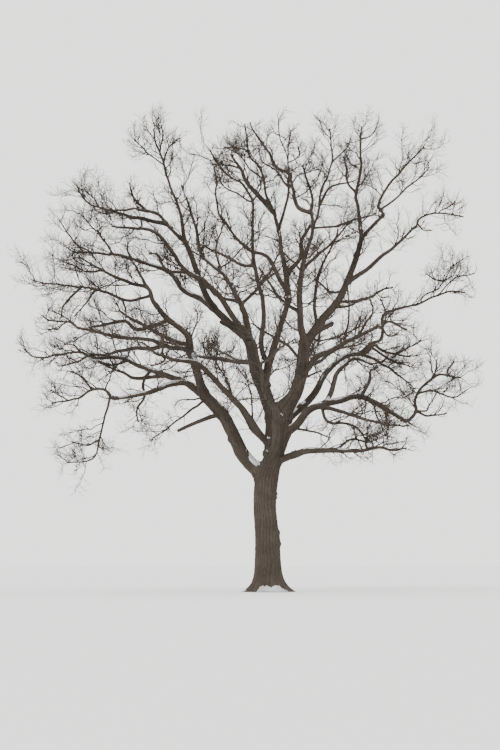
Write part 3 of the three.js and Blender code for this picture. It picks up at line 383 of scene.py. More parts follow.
# A twig stands and is as long as its own draws say, from the least, over the spread.
LEAST_STAND = 0.35
STAND_SPREAD = 0.6
LEAST_LENGTH = 0.7
LENGTH_SPREAD = 0.6

# Which draw on its own number settles what. A bend, a kink or a zigzag takes one for each axis.
STAND, LEAN, LENGTH, TURN = range(4)
BEND = 10
KINK = 30
ZIG = 40
CHILD = 50
THIN = 60

# The numbers that a draw is mixed with, and those that make one number of a place in a lattice.
WORD = 2**32
MIX_TURN = 0x9E3779B1
MIX_TWIG = 0x85EBCA6B
MIX_LAST = 0xC2B2AE35
MIX_LATTICE = (73856093, 19349663, 83492791)

# How finely curves are followed, and the furthest that twigs go past the solids' box.
CURVE_STEPS = 400
FINE_STEP = 0.06
BOX_MARGIN = 0.12


@dataclass
class Limb:
    """A limb's centre line with its radius at each point, and what it grows on."""

    name: str
    parent: str
    points: np.ndarray
    radii: np.ndarray
    number: int
    broken: bool = False

    def length(self):
        return float(np.linalg.norm(np.diff(self.points, axis=0), axis=1).sum())

    def at(self, share):
        """The place, the heading and the girth at a share of the way along."""
        where = share * (len(self.points) - 1)
        step = min(int(where), len(self.points) - 2)
        place = self.points[step] + (self.points[step + 1] - self.points[step]) * (where - step)
        girth = 2 * np.interp(where, np.arange(len(self.radii)), self.radii)
        return place, unit(self.points[step + 1] - self.points[step]), girth

    def nearest_share(self, spot):
        """The share at which the limb passes nearest to a place seen at (across, up)."""
        gaps = np.linalg.norm(seen_at(self.points) - np.asarray(spot), axis=1)
        return gaps.argmin() / (len(self.points) - 1)


@dataclass
class Shoots:
    """Many twigs at once. Their points are in rows of the same count."""

    number: np.ndarray
    points: np.ndarray
    length: np.ndarray
    girth: np.ndarray
    space: np.ndarray
    region: np.ndarray
    shade: np.ndarray

    def where(self, wanted):
        return Shoots(*(getattr(self, name)[wanted] for name in self.__dataclass_fields__))

    @staticmethod
    def together(groups):
        names = Shoots.__dataclass_fields__
        return Shoots(*(np.concatenate([getattr(group, name) for group in groups]) for name in names))


def unit(vectors):
    return vectors / np.maximum(np.linalg.norm(vectors, axis=-1, keepdims=True), 1e-9)


def smooth_step(low, high, value):
    part = np.clip((value - low) / (high - low), 0, 1)
    return part * part * (3 - 2 * part)


# A number from 0 to 1 that depends only on a twig's own number and on which draw it is.
def draw(twig, turn):
    word = np.uint64(WORD - 1)
    twig = np.asarray(twig).astype(np.int64).astype(np.uint64) & word
    turn = (np.asarray(turn).astype(np.int64) + 1).astype(np.uint64)
    mixed = (twig ^ turn * np.uint64(MIX_TURN) & word) * np.uint64(MIX_TWIG) & word
    mixed = (mixed ^ mixed >> np.uint64(13)) * np.uint64(MIX_LAST) & word
    return (mixed ^ mixed >> np.uint64(16)) / WORD


def number_of(parent, child):
    return (draw(parent, CHILD + np.asarray(child)) * WORD).astype(np.int64)


def noise(places, seed):
    """Smooth noise from -1 to 1 on a lattice of unit cells."""
    cell = np.floor(places)
    part = places - cell
    part = part * part * (3 - 2 * part)
    cell = cell.astype(np.int64)
    total = 0
    for corner in itertools.product((0, 1), repeat=3):
        x, y, z = (cell[..., axis] + corner[axis] for axis in range(3))
        weight = math.prod(part[..., axis] if corner[axis] else 1 - part[..., axis] for axis in range(3))
        key = x * MIX_LATTICE[0] ^ y * MIX_LATTICE[1] ^ z * MIX_LATTICE[2]
        total = total + weight * draw(key & (WORD - 1), seed)
    return 2 * total - 1


# A place seen at (across, up), carried along its line of sight to its depth, and the other way round.
def place_of(spot, deep):
    reach = (deep - EYE[1]) / -EYE[1]
    return np.array((EYE[0] + (spot[0] - EYE[0]) * reach, deep, EYE[2] + (spot[1] - EYE[2]) * reach))


def seen_at(places):
    reach = (places[..., 1:2] - EYE[1]) / -EYE[1]
    return EYE[[0, 2]] + (places[..., [0, 2]] - EYE[[0, 2]]) / reach


def course_of(root, deep, via):
    """A limb's places from its root, coming evenly to its own depth."""
    seen = np.vstack((seen_at(root), [spot[:2] for spot in via]))
    runs = np.cumsum(np.linalg.norm(np.diff(seen, axis=0), axis=1))
    places = [root]
    for i, spot in enumerate(via):
        share = runs[i] / runs[-1]
        sway = SWAY * (2 * draw(round(deep * 1000), i) - 1) if share < 1 else 0
        depth = spot[2] if len(spot) == 3 else root[1] + (deep - root[1]) * share + sway
        places.append(place_of(spot, depth))
    return np.array(places)


def smooth_through(points):
    """Even, close points on a centripetal Catmull-Rom curve through a few places."""
    knots = np.vstack((2 * points[0] - points[1], points, 2 * points[-1] - points[-2]))
    spans = np.linalg.norm(np.diff(knots, axis=0), axis=1) ** 0.5
    at = np.linspace(0, len(points) - 1, CURVE_STEPS + 1)
    piece = np.minimum(at.astype(int), len(points) - 2)
    t = (at - piece)[:, None]
    p0, p1, p2, p3 = (knots[piece + k] for k in range(4))
    d0, d1, d2 = (spans[piece + k][:, None] for k in range(3))
    out = d1 * ((p1 - p0) / d0 - (p2 - p0) / (d0 + d1) + (p2 - p1) / d1)
    into = d1 * ((p2 - p1) / d1 - (p3 - p1) / (d1 + d2) + (p3 - p2) / d2)
    run = p1 + out * t + (3 * (p2 - p1) - 2 * out - into) * t**2 + (2 * (p1 - p2) + out + into) * t**3
    return evenly(run, FINE_STEP)


def evenly(run, step):
    lengths = np.concatenate(([0], np.cumsum(np.linalg.norm(np.diff(run, axis=0), axis=1))))
    at = np.linspace(0, lengths[-1], max(4, round(lengths[-1] / step)) + 1)
    return np.stack([np.interp(at, lengths, run[:, axis]) for axis in range(3)], axis=1)


def crooked(points, amount, number):
    """The same run with kinks in it that fade out at both of its ends."""
    along = np.arange(len(points)) * FINE_STEP
    fade = np.sin(np.pi * np.linspace(0, 1, len(points))) ** 0.6
    for level, (run, share) in enumerate(KINKS):
        knots = np.arange(int(along[-1] / run) + 3)
        at = along / run + draw(number, KINK + level)
        shift = np.stack([
            np.interp(at, knots, 2 * draw(number * 97 + 41 * level + knots, axis) - 1) for axis in range(3)
        ], axis=1)
        points = points + amount * share * fade[:, None] * shift
    return points


def grow_limb(name, parent, root, deep, girth, via, crook, lead=None):
    """A limb from its root through its places. A lead is a point before them, where a stem leaves a tip."""
    if lead is None:
        places = course_of(root, deep, via)
    else:
        places = np.vstack((root, course_of(lead, deep, via)))
    number = sum(ord(letter) * (i + 1) for i, letter in enumerate(name))
    points = crooked(smooth_through(places), crook, number)
    share = np.linspace(0, 1, len(points)) ** (LIMB_TAPER if crook == STEM_CROOK else 1)
    return Limb(name, parent, points, (girth[0] + (girth[1] - girth[0]) * share) / 2, number)


def make_limbs():
    """The trunk, the boughs, the snags, and each mass's stem and arms, by name."""
    lean = np.array([(x, 0.0, z) for x, z in TRUNK_LEAN])
    middle = smooth_through(lean)
    limbs = {"trunk": Limb("trunk", "", middle, np.linspace(*TRUNK_GIRTH, len(middle)) / 2, 1)}

    def add(row, crook):
        name, on, start, deep, girth, via = row
        root = limbs[on].at(limbs[on].nearest_share(start))[0]
        limbs[name] = grow_limb(name, on, root, deep, girth, via, crook)

    for row in BOUGHS:
        add(row, BOUGH_CROOK)
    for row in SNAGS:
        add(row, BOUGH_CROOK / 2)
        limbs[row[0]].broken = True
    for name, deep, via, arms in MASSES:
        bough = limbs[name]
        end, way, girth = bough.at(1)
        stem = grow_limb(
            f"{name}.0", name, end - way * girth / 4, deep, (girth * STEM_FIT, STEM_TIP), via, STEM_CROOK,
            lead=end + way * girth,
        )
        limbs[stem.name] = stem
        for i, (start, arm_deep, arm_via) in enumerate(arms, start=1):
            place, _, thick = stem.at(max(FIRST_ARM, stem.nearest_share(start)))
            limbs[f"{name}.{i}"] = grow_limb(
                f"{name}.{i}", stem.name, place, arm_deep, (thick * ARM_SHARE, ARM_TIP), arm_via, STEM_CROOK,
            )
    for name, on, start, deep, girth, via in SIDE_LIMBS:
        add((name, on, start, deep, (girth[0] * SIDE_GIRTH, girth[1] * SIDE_GIRTH), via), STEM_CROOK)
    return limbs


limbs = make_limbs()
bough_names = [row[0] for row in BOUGHS]
mass_names = [mass[0] for mass in MASSES]
side_names = [row[0] for row in SIDE_LIMBS]
axis_names = [name for name in limbs if "." in name]


def region_of(name):
    """The piece that a limb's twigs go to: that of the bough it comes from."""
    while name.split(".")[0] not in itertools.chain(*REGIONS.values()):
        name = limbs[name].parent
    return next(region for region, members in REGIONS.items() if name.split(".")[0] in members)


# The seeds of the noises.
SWAY_SEED, SHAKE_SEED, PLATE_SEED, FLUTE_SEED, SNOW_SEED, BUNCH_SEED = 11, 12, 13, 21, 31, 61

# Limbs swell into those they are joined to over this share of the thinner one's radius and a little more, and
# those that leave the same limb this near to each other swell together.
SWELL_REACH = 0.9
SWELL_MORE = 0.03
BESIDE = 1.2

# The bark: how far apart its points stand, and the size and depth of its furrows on the trunk.
ROUND_STEP = 0.044
TRUNK_SIDES = 156
TRUNK_RISE = 0.036
FURROW_APART = 0.125
FURROW_DEPTH = 0.03
FURROW_WIDTH = 0.34
FURROW_SWAY = (0.3, 0.3, 0.8)
FURROW_SHAKE = (0.13, 0.13, 0.2)
PLATE = (0.12, 0.12, 0.07)
OVAL = 0.07
FLUTES = 0.035

# How jagged a broken end is: how fine each of its noises is, with its share.
JAGS = ((3, 1), (8, 0.5))

# Burrs and the scars of shed limbs: the limb each is on, where it is seen, its radius and its height.
BURRS = (
    ("trunk", (0.05, 5.65), 0.15, 0.06), ("trunk", (-0.05, 5.2), 0.12, 0.045),
    ("trunk", (0.3, 3.6), 0.13, 0.04), ("trunk", (0.42, 2.0), 0.3, 0.05),
    ("leader_left", (0.12, 7.85), 0.12, 0.07),
    ("leader_right", (0.7, 7.0), 0.14, 0.05), ("left_low", (-1.35, 5.75), 0.14, 0.05),
    ("right_lowest", (1.0, 5.3), 0.1, 0.04), ("right_mid", (1.3, 7.0), 0.12, 0.05),
)

# Snow: where it was blown from, how nearly a surface faces that way to hold it, how thick it lies, how deep
# its rim dips into the bark, the size of its patches, the least cover that shows, and the thinnest limb that
# holds it.
SNOW_WIND = (0.05, -0.42, 0.9)
SNOW_FROM = 0.8
SNOW_FULL = 1.05
SNOW_THICK = 0.015
SNOW_SINK = 0.004
SNOW_PATCH = 0.55
SNOW_LEAST = 0.12
LEAST_SNOWY = 0.2

trunk_lean = smooth_through(np.array([(x, 0.0, z) for x, z in TRUNK_LEAN]))
trunk_profile = smooth_through(np.array([(half, 0.0, z) for half, z in TRUNK_HALF_WIDTH]))


def trunk_middle(height):
    return np.interp(height, trunk_lean[:, 2], trunk_lean[:, 0])


def trunk_radius(height, angle):
    radius = np.interp(height, trunk_profile[:, 2], trunk_profile[:, 0])
    radius = radius + FLARE_WIDE * np.exp(-height / FLARE_FADE)
    for azimuth, wide, fade in TOES:
        turn = (angle - math.radians(azimuth) + math.pi) % (2 * math.pi) - math.pi
        radius = radius + wide * np.exp(-height / fade) * np.exp(-((turn / TOE_SPREAD) ** 2))
    return radius


def outside_trunk(places):
    """How far places are outside the trunk, less than nothing within it."""
    height = np.clip(places[..., 2], 0, TRUNK_HEIGHT)
    x = places[..., 0] - trunk_middle(height)
    y = places[..., 1]
    return np.maximum(np.hypot(x, y) - trunk_radius(height, np.arctan2(y, x)), places[..., 2] - TRUNK_HEIGHT)


def outside_run(places, points, radii):
    """How far places are outside a tapering run of points."""
    start, span = points[:-1], np.diff(points, axis=0)
    offset = places[:, None] - start
    t = np.clip((offset * span).sum(-1) / (span * span).sum(-1), 0, 1)
    gap = np.linalg.norm(offset - t[..., None] * span, axis=-1) - (radii[:-1] + t * np.diff(radii))
    return gap.min(axis=1)


def free_run(limb):
    """The part of a limb that stands out of its parent, for the join to swell towards."""
    parent = limbs[limb.parent]
    if limb.parent == "trunk":
        depth = outside_trunk(limb.points)
    else:
        depth = outside_run(limb.points, parent.points[::2], parent.radii[::2])
    out = int(np.argmax(depth > -0.5 * limb.radii[0]))
    out = max(0, min(out, len(limb.points) - 4))
    return limb.points[out::3], limb.radii[out::3]


def kin_of(name):
    """The limbs that a limb is joined to, or that leave the same one next to it."""
    parent = limbs[name].parent
    children = [other for other, limb in limbs.items() if limb.parent == name]
    if not parent:
        return children
    root = limbs[name].points[0]
    beside = [
        other for other, limb in limbs.items()
        if limb.parent == parent and other != name and np.linalg.norm(limb.points[0] - root) < BESIDE
    ]
    return [parent, *children, *beside]


def swell_of(name, places):
    """How far a limb's surface rises to run smoothly into the limbs that it is joined to."""
    rise = np.zeros(len(places))
    own = limbs[name]
    for other in kin_of(name):
        limb = limbs[other]
        thin = min(own.radii[0], limb.radii[0])
        reach = SWELL_REACH * thin + SWELL_MORE
        if other == "trunk":
            gap = outside_trunk(places)
        elif other == own.parent:
            gap = outside_run(places, limb.points[::2], limb.radii[::2])
        else:
            gap = outside_run(places, *free_run(limb))
        lift = np.zeros(len(places))
        for _ in range(3):
            lift = reach / 4 * np.maximum(0, 1 - np.abs(gap - lift) / reach) ** 2
        rise = np.maximum(rise, lift) + 0.4 * np.minimum(rise, lift)
    return rise


def grid_normals(grid):
    """The way out at each point of a tube that is a grid of rings."""
    along = np.gradient(grid, axis=0)
    across = np.roll(grid, -1, axis=1) - np.roll(grid, 1, axis=1)
    return unit(np.cross(across, along))


def bark_relief(turn, along, girth):
    """How far the bark stands in or out on a limb's rings, and how deep in a furrow each place is."""
    share = np.clip(girth / TRUNK_GIRTH[0], 0, 1)
    size = 0.35 + 0.65 * share**0.6
    places = np.stack([np.cos(turn) * girth / 2, np.sin(turn) * girth / 2, along], axis=-1) / size
    sway = 1.5 * noise(places / FURROW_SWAY, SWAY_SEED) + 0.5 * noise(places / FURROW_SHAKE, SHAKE_SEED)
    count = min(round(math.pi * girth / (FURROW_APART * size)), turn.shape[1] // 5)
    ridge = np.abs(np.sin(turn * count / 2 + math.pi / 2 * sway))
    furrow = np.exp(-((ridge / FURROW_WIDTH) ** 2))
    plates = noise(places / PLATE, PLATE_SEED)
    return FURROW_DEPTH * share**0.75 * (ridge**0.7 - 0.7 + 0.22 * plates), furrow * (0.75 + 0.25 * plates)


@dataclass
class Skin:
    """A limb's surface: a grid of rings, how deep in a furrow it is, and whether its far end is broken."""

    grid: np.ndarray
    furrow: np.ndarray
    girth: float
    broken: bool = False


def trunk_skin():
    rows = round(TRUNK_HEIGHT / TRUNK_RISE)
    angles = np.arange(TRUNK_SIDES) * 2 * math.pi / TRUNK_SIDES
    height, angle = np.meshgrid(np.linspace(0, TRUNK_HEIGHT, rows + 1), angles, indexing="ij")
    round_trunk = np.stack([np.cos(angle), np.sin(angle), 0 * angle], axis=-1)
    climb = np.stack([0 * height, 0 * height, height / 2.5], axis=-1)
    flutes = FLUTES * noise(round_trunk * 2.2 + climb, FLUTE_SEED)
    radius = trunk_radius(height, angle) + flutes
    places = round_trunk * radius[..., None]
    places[..., 0] += trunk_middle(height)
    places[..., 2] = height
    return dress("trunk", places, height, angle, TRUNK_GIRTH[0])


def limb_skin(name):
    limb = limbs[name]
    first = limb.radii[0]
    sides = int(np.clip(round(2 * math.pi * first / ROUND_STEP), 6, 50))
    points = evenly(limb.points, float(np.clip(0.8 * first, 0.06, 0.085)))
    radii = np.interp(np.linspace(0, 1, len(points)), np.linspace(0, 1, len(limb.radii)), limb.radii)
    if name in mass_names:
        radii = radii * (1 - 0.08 * smooth_step(0.8, 1, np.linspace(0, 1, len(points))))
    way = unit(np.gradient(points, axis=0))
    side = unit(np.cross(way[0], (0.3, 0.2, 1.0)))
    normals = []
    for heading in way:
        side = unit(side - heading * side.dot(heading))
        normals.append(side)
    normals = np.array(normals)
    others = np.cross(way, normals)
    angle = np.arange(sides) * 2 * math.pi / sides
    out = normals[:, None] * np.cos(angle)[:, None] + others[:, None] * np.sin(angle)[:, None]
    along = np.linspace(0, limb.length(), len(points))
    height, turn = np.meshgrid(along, angle, indexing="ij")
    shape = np.stack([np.cos(turn), np.sin(turn), height / max(1.0, 4 * first)], axis=-1)
    lumps = 1 + OVAL * (noise(shape, limb.number) + 0.5 * noise(shape * 2.3, limb.number + 3))
    places = points[:, None] + out * (radii[:, None] * lumps)[..., None]
    if limb.broken:
        jag = 0
        for fine, share in JAGS:
            ring = np.stack([np.cos(angle) * fine, np.sin(angle) * fine, 0 * angle], axis=-1)
            jag = jag + share * noise(ring, limb.number)
        places[-1] += way[-1] * (jag * 0.6 * limb.radii[-1])[:, None]
    return dress(name, places, height, turn, 2 * first)


def dress(name, places, height, angle, girth):
    """A limb's rings with their joins swollen and their bark cut, as a skin."""
    limb = limbs[name]
    shape = places.shape
    outward = grid_normals(places)
    lift = swell_of(name, places.reshape(-1, 3)).reshape(shape[:2])
    for on, spot, wide, high in BURRS:
        if on == name:
            facing = outward[..., 1] < 0
            off = np.linalg.norm(seen_at(places) - np.array(spot), axis=-1) / wide
            ring = np.exp(-((off - 0.75) / 0.3) ** 2) + 0.55 * np.exp(-(off**2) * 2.5)
            lift = lift + np.where(facing, high * ring, 0)
    relief, furrow = bark_relief(angle, height + 3.7 * limb.number % 11, girth)
    if name == "trunk":
        low = smooth_step(0, 0.12, height)
        relief = relief * (0.35 + 0.65 * low)
        outward = np.where(height[..., None] < TRUNK_RISE / 2, outward * (1, 1, 0), outward)
    places = places + outward * (lift + relief)[..., None]
    places[..., 2] = np.maximum(places[..., 2], 0)
    if name == "trunk":
        places[0, :, 2] = 0
    return Skin(places, furrow, girth, limb.broken)


def skin_faces(skin):
    """The skin's points, triangles and furrows, with both of its ends closed."""
    rows, sides = skin.grid.shape[:2]
    ring = np.arange(sides)
    a = (np.arange(rows - 1)[:, None] * sides + ring).ravel()
    b = (np.arange(rows - 1)[:, None] * sides + (ring + 1) % sides).ravel()
    walls = np.concatenate([np.stack([a, b, b + sides], 1), np.stack([a, b + sides, a + sides], 1)])
    foot, top = rows * sides, rows * sides + 1
    last = (rows - 1) * sides
    ends = [skin.grid[0].mean(0), skin.grid[-1].mean(0)]
    if skin.broken:
        ends[1] = ends[1] - (skin.grid[-1].mean(0) - skin.grid[-2].mean(0)) * 1.2
    foot_faces = np.stack([0 * ring + foot, (ring + 1) % sides, ring], 1)
    top_faces = np.stack([0 * ring + top, last + ring, last + (ring + 1) % sides], 1)
    points = np.vstack((skin.grid.reshape(-1, 3), ends))
    # The end caps' centres take half of the painted furrow shade, and a broken end's hollow centre takes all of
    # it.
    furrow = np.concatenate((skin.furrow.ravel(), (0.5, 1.0 if skin.broken else 0.5)))
    return points, np.concatenate([walls, foot_faces, top_faces]), furrow


def snow_on(skin):
    """A thin closed drift on the parts of a skin that face up, or nothing."""
    grid = skin.grid
    rows, sides = grid.shape[:2]
    outward = grid_normals(grid)
    patch = noise(grid / SNOW_PATCH, SNOW_SEED) + 0.4 * noise(grid / SNOW_PATCH * 3.1, SNOW_SEED + 1)
    cover = smooth_step(SNOW_FROM, SNOW_FULL, outward @ np.array(SNOW_WIND) + 0.25 * patch)
    cover[0] = cover[-1] = 0
    quads = np.maximum.reduce([
        cover[:-1], np.roll(cover, -1, 1)[:-1], cover[1:], np.roll(cover, -1, 1)[1:],
    ]) > SNOW_LEAST
    if not quads.any():
        return None
    row, side = np.nonzero(quads)
    after = (side + 1) % sides
    near = row * sides
    far = near + sides
    corners = np.stack([near + side, near + after, far + after, far + side], 1)
    used, index = np.unique(corners, return_inverse=True)
    index = index.reshape(corners.shape)
    touching = np.bincount(index.ravel(), minlength=len(used))
    inner = touching == 4
    base = grid.reshape(-1, 3)[used]
    out = outward.reshape(-1, 3)[used]
    thick = SNOW_THICK * min(1.0, (skin.girth / 0.3) ** 0.6) * cover.ravel()[used]
    thick = thick * (0.4 + 0.6 * smooth_step(0.1, 0.5, base[:, 2]))
    rise = unit(0.5 * out + np.array((0, 0, 0.5)))
    top = base + np.where(inner[:, None], rise * (thick + 0.004)[:, None], -SNOW_SINK * out)
    below = base - 1.6 * SNOW_SINK * out
    under = np.where(inner, np.cumsum(inner) - 1 + len(used), np.arange(len(used)))
    points = np.vstack((top, below[inner]))
    points[:, 2] = np.maximum(points[:, 2], 0)
    low = under[index]
    faces = np.concatenate([
        index[:, [0, 1, 2]], index[:, [0, 2, 3]], low[:, [0, 2, 1]], low[:, [0, 3, 2]],
    ])
    return points, faces


skins = {name: trunk_skin() if name == "trunk" else limb_skin(name) for name in limbs}


@dataclass
class Order:
    """One order of twigs: how far apart they stand, how they lean, how long and thick they are."""

    apart: float
    lean: tuple
    share: float
    bounds: tuple
    root: float
    taper: float
    joints: int
    first: int = 0
    crook: float = CROOK
    bunched: float = 0.0
    fade: float = 0.7
    gather: float = 1.0


# The two orders of the solids' twigs, and those that fill in between them and after them.
MAIN = Order(0.93, (0.75, 1.2), 0.5, (0.38, 1.15), 0.05, 0.5, 2)
SECOND = Order(0.76, (0.6, 1.0), 0.6, (0.24, 0.6), 0.032, 0.5, 1)
BRANCHLET = Order(0.4, (0.55, 1.1), 0.6, (0.6, 1.6), 0.062, 0.45, 3, 2000, 0.45, 0.15, 0.5, 0.8)
BETWEEN = Order(0.17, (0.55, 1.2), 0.42, (0.3, 0.8), 0.032, 0.5, 2, 1000, 0.5, 0.4, 0.35, 0.8)
FINE = Order(0.067, (0.45, 1.15), 0.5, (0.2, 0.5), 0.019, 0.55, 2, 1000, 0.55, 0.48, 0.2, 0.62)
TWIGLET = Order(0.074, (0.45, 1.2), 0.55, (0.09, 0.24), 0.014, 0.6, 1, 1000, 0.4, 0.25, 0.2, 0.75)
SPUR = Order(0.17, (0.5, 1.2), 0.6, (0.06, 0.12), 0.01, 0.7, 1, 1000, 0.4, 0.85)

# Boughs carry shoots from this share of their length on. Finer twigs stand in bunches of this size, and in
# thickets, which bunch as well.
FIRST_SHOOT = 0.38
BUNCH = 0.75
BUNCH_FULL = 0.75
THICKET_FULL = 0.75
THICKET_BUNCH = 0.3
AXIS_JOINTS = 32
AT_ONCE = 4000
ZIGZAG = 0.15
SHADES = 3

axis_samples = []
for mass_index, mass_name in enumerate(mass_names):
    runs = [evenly(limbs[name].points, SAMPLE) for name in axis_names if name.split(".")[0] == mass_name]
    axis_samples.append(np.vstack(runs))
limb_places = []
limb_reach = []
for name in ["trunk", *bough_names]:
    run = evenly(limbs[name].points, SAMPLE)
    limb_places.append(run)
    limb_reach.append(np.linspace(limbs[name].radii[0], limbs[name].radii[-1], len(run)) + LIMB_CLEARANCE)
limb_places = np.vstack(limb_places)
limb_reach = np.concatenate(limb_reach)


def gaps_between(places, others):
    """The distance from each place to each other place."""
    square = (places**2).sum(1)[:, None] + (others**2).sum(1) - 2 * places @ others.T
    return np.sqrt(np.maximum(square, 0))


def clear_of_limbs(places):
    clear = np.ones(len(places), bool)
    for start in range(0, len(places), AT_ONCE):
        part = slice(start, start + AT_ONCE)
        clear[part] = (gaps_between(places[part], limb_places) > limb_reach).all(axis=1)
    return clear


def has_room(places, space):
    """Whether places are clear of the limbs, inside the crown's box and, if they have a space, in it."""
    room = clear_of_limbs(places)
    low = np.array(cad_box[0]) - BOX_MARGIN
    high = np.array(cad_box[1]) + BOX_MARGIN
    room &= ((places > low) & (places < high)).all(axis=1)
    gaps = np.stack([gaps_between(places, samples).min(axis=1) for samples in axis_samples], axis=1)
    rows = np.flatnonzero(space >= 0)
    own = gaps[rows, space[rows]]
    gaps[rows, space[rows]] = np.inf
    room[rows] &= gaps[rows].min(axis=1) > own + MASS_MARGIN
    return room


def along_runs(points, run, share):
    """The place and the heading at a share of the way along each of many runs."""
    where = share * (points.shape[1] - 1)
    step = np.minimum(where.astype(int), points.shape[1] - 2)
    start = points[run, step]
    span = points[run, step + 1] - start
    return start + span * (where - step)[:, None], unit(span)


def twig_points(number, place, heading, length, turned, order):
    """Twigs' joints: each leans out of what it grows on, bends at every joint and lifts towards the light."""
    side = np.stack([-heading[:, 1], heading[:, 0], 0 * heading[:, 0]], axis=1)
    side[np.linalg.norm(side, axis=1) < 0.1] = (1, 0, 0)
    side = unit(side)
    other = np.cross(heading, side)
    lean = order.lean[0] + (order.lean[1] - order.lean[0]) * draw(number, LEAN)
    sine = np.sin(lean)
    way = heading * np.cos(lean)[:, None] + side * (np.cos(turned) * sine)[:, None]
    way = way + other * (np.sin(turned) * sine)[:, None]
    points = [place]
    for joint in range(order.joints):
        bend = np.stack([draw(number, BEND + 3 * joint + axis) - 0.5 for axis in range(3)], axis=1)
        way = unit(way + bend * 2 * order.crook + np.array((0, 0, LIFT)))
        points.append(points[-1] + way * (length / order.joints)[:, None])
    return np.stack(points, axis=1)


def fullness(places):
    """How thickly twigs stand at places, from 0 to 1."""
    seen = seen_at(places)
    thick = BUNCH_FULL * noise(places / BUNCH, BUNCH_SEED)
    for spot, reach in THICKETS:
        near = np.exp(-((seen - spot) ** 2).sum(1) / reach**2)
        thick = np.maximum(thick, THICKET_FULL * near + THICKET_BUNCH * thick)
    return np.clip(thick, 0, 1)


def grow(shoots, order, roomy=True):
    """The twigs of one order that leave some shoots."""
    count = np.floor(shoots.length * (1 - FIRST_TWIG) / order.apart + 0.5).astype(int)
    run = np.repeat(np.arange(len(count)), count)
    child = np.arange(len(run)) - np.repeat(np.cumsum(count) - count, count)
    number = number_of(shoots.number[run], order.first + child)
    share = ((child + LEAST_STAND + STAND_SPREAD * draw(number, STAND)) / count[run]) ** order.gather
    share = np.minimum(FIRST_TWIG + (1 - FIRST_TWIG) * share, 1)
    place, heading = along_runs(shoots.points, run, share)
    vary = LEAST_LENGTH + LENGTH_SPREAD * draw(number, LENGTH)
    size = shoots.length[run] * order.share * (1 - order.fade * share) * vary
    length = np.clip(size, *order.bounds)
    turned = child * GOLDEN_ANGLE + draw(number, TURN)
    points = twig_points(number, place, heading, length, turned, order)
    thick = shoots.girth[run, 0] + (shoots.girth[run, 1] - shoots.girth[run, 0]) * share
    root = np.clip(TWIG_SHARE * thick, 0.65 * order.root, order.root)
    girth = np.stack([root, root * order.taper], axis=1)
    shade = np.where(shoots.shade[run] < 0, number % SHADES, shoots.shade[run])
    grown = Shoots(number, points, length, girth, shoots.space[run], shoots.region[run], shade)
    if order.bunched:
        wanted = draw(number, THIN) < 1 - order.bunched * (1 - fullness(place))
        grown = grown.where(wanted)
        points = grown.points
    if not roomy or not len(points):
        return grown
    number = grown.number
    joints = points[:, 1:].reshape(-1, 3)
    room = has_room(joints, np.repeat(grown.space, order.joints)).reshape(len(number), order.joints)
    return grown.where(room.all(axis=1))


def axes_of(names, numbers, spaces, start=0.0):
    """Limbs, or what is past a share of them, as shoots that twigs can leave."""
    rows = []
    for name, number, space in zip(names, numbers, spaces):
        limb = limbs[name]
        run = limb.points[int(start * (len(limb.points) - 1)):]
        length = float(np.linalg.norm(np.diff(run, axis=0), axis=1).sum())
        at = np.linspace(0, len(run) - 1, AXIS_JOINTS)
        points = np.stack([np.interp(at, np.arange(len(run)), run[:, axis]) for axis in range(3)], axis=1)
        girth = (2 * np.interp(start, (0, 1), limb.radii[[0, -1]]), 2 * limb.radii[-1])
        region = list(REGIONS).index(region_of(name))
        rows.append((number, points, length, girth, space, region, -1))
    return Shoots(*(np.array(column) for column in zip(*rows)))


def grow_crown():
    """Every twig, order by order."""
    spaces = [mass_names.index(name.split(".")[0]) for name in axis_names]
    numbers = [number_of(space + 1, int(name.split(".")[1])) for name, space in zip(axis_names, spaces)]
    axes = axes_of(axis_names, numbers, spaces)
    sides = axes_of(side_names, [limbs[name].number for name in side_names], [-1] * len(side_names))
    bough_numbers = [limbs[name].number for name in bough_names]
    bare = axes_of(bough_names, bough_numbers, [-1] * len(bough_names), FIRST_SHOOT)
    main = grow(axes, MAIN)
    second = grow(main, SECOND)
    axes.space[:] = main.space[:] = second.space[:] = -1
    limbs_all = Shoots.together([axes, sides, bare])
    branchlets = grow(limbs_all, BRANCHLET)
    between = Shoots.together([grow(limbs_all, BETWEEN), grow(branchlets, BETWEEN)])
    fine = Shoots.together([grow(shoots, FINE) for shoots in (main, second, branchlets, between)])
    twiglets = grow(fine, TWIGLET)
    spurs = grow(twiglets, SPUR, roomy=False)
    return [(main, 3), (branchlets, 2), (second, 3), (between, 2), (fine, 1), (twiglets, 1), (spurs, 1)]


def zigzag(shoots, splits):
    """Shoots' points with more joints between them, set a little to one side and the other."""
    points = shoots.points
    if splits == 1:
        return points
    step = np.linalg.norm(points[:, 1:] - points[:, :-1], axis=-1)[..., None]
    rows = []
    for joint in range(points.shape[1] - 1):
        for split in range(splits):
            share = split / splits
            place = points[:, joint] * (1 - share) + points[:, joint + 1] * share
            if split:
                turn = ZIG + 3 * (joint * splits + split)
                bend = np.stack([draw(shoots.number, turn + axis) - 0.5 for axis in range(3)], axis=1)
                place = place + bend * 2 * ZIGZAG * step[:, joint]
            rows.append(place)
    return np.stack([*rows, points[:, -1]], axis=1)


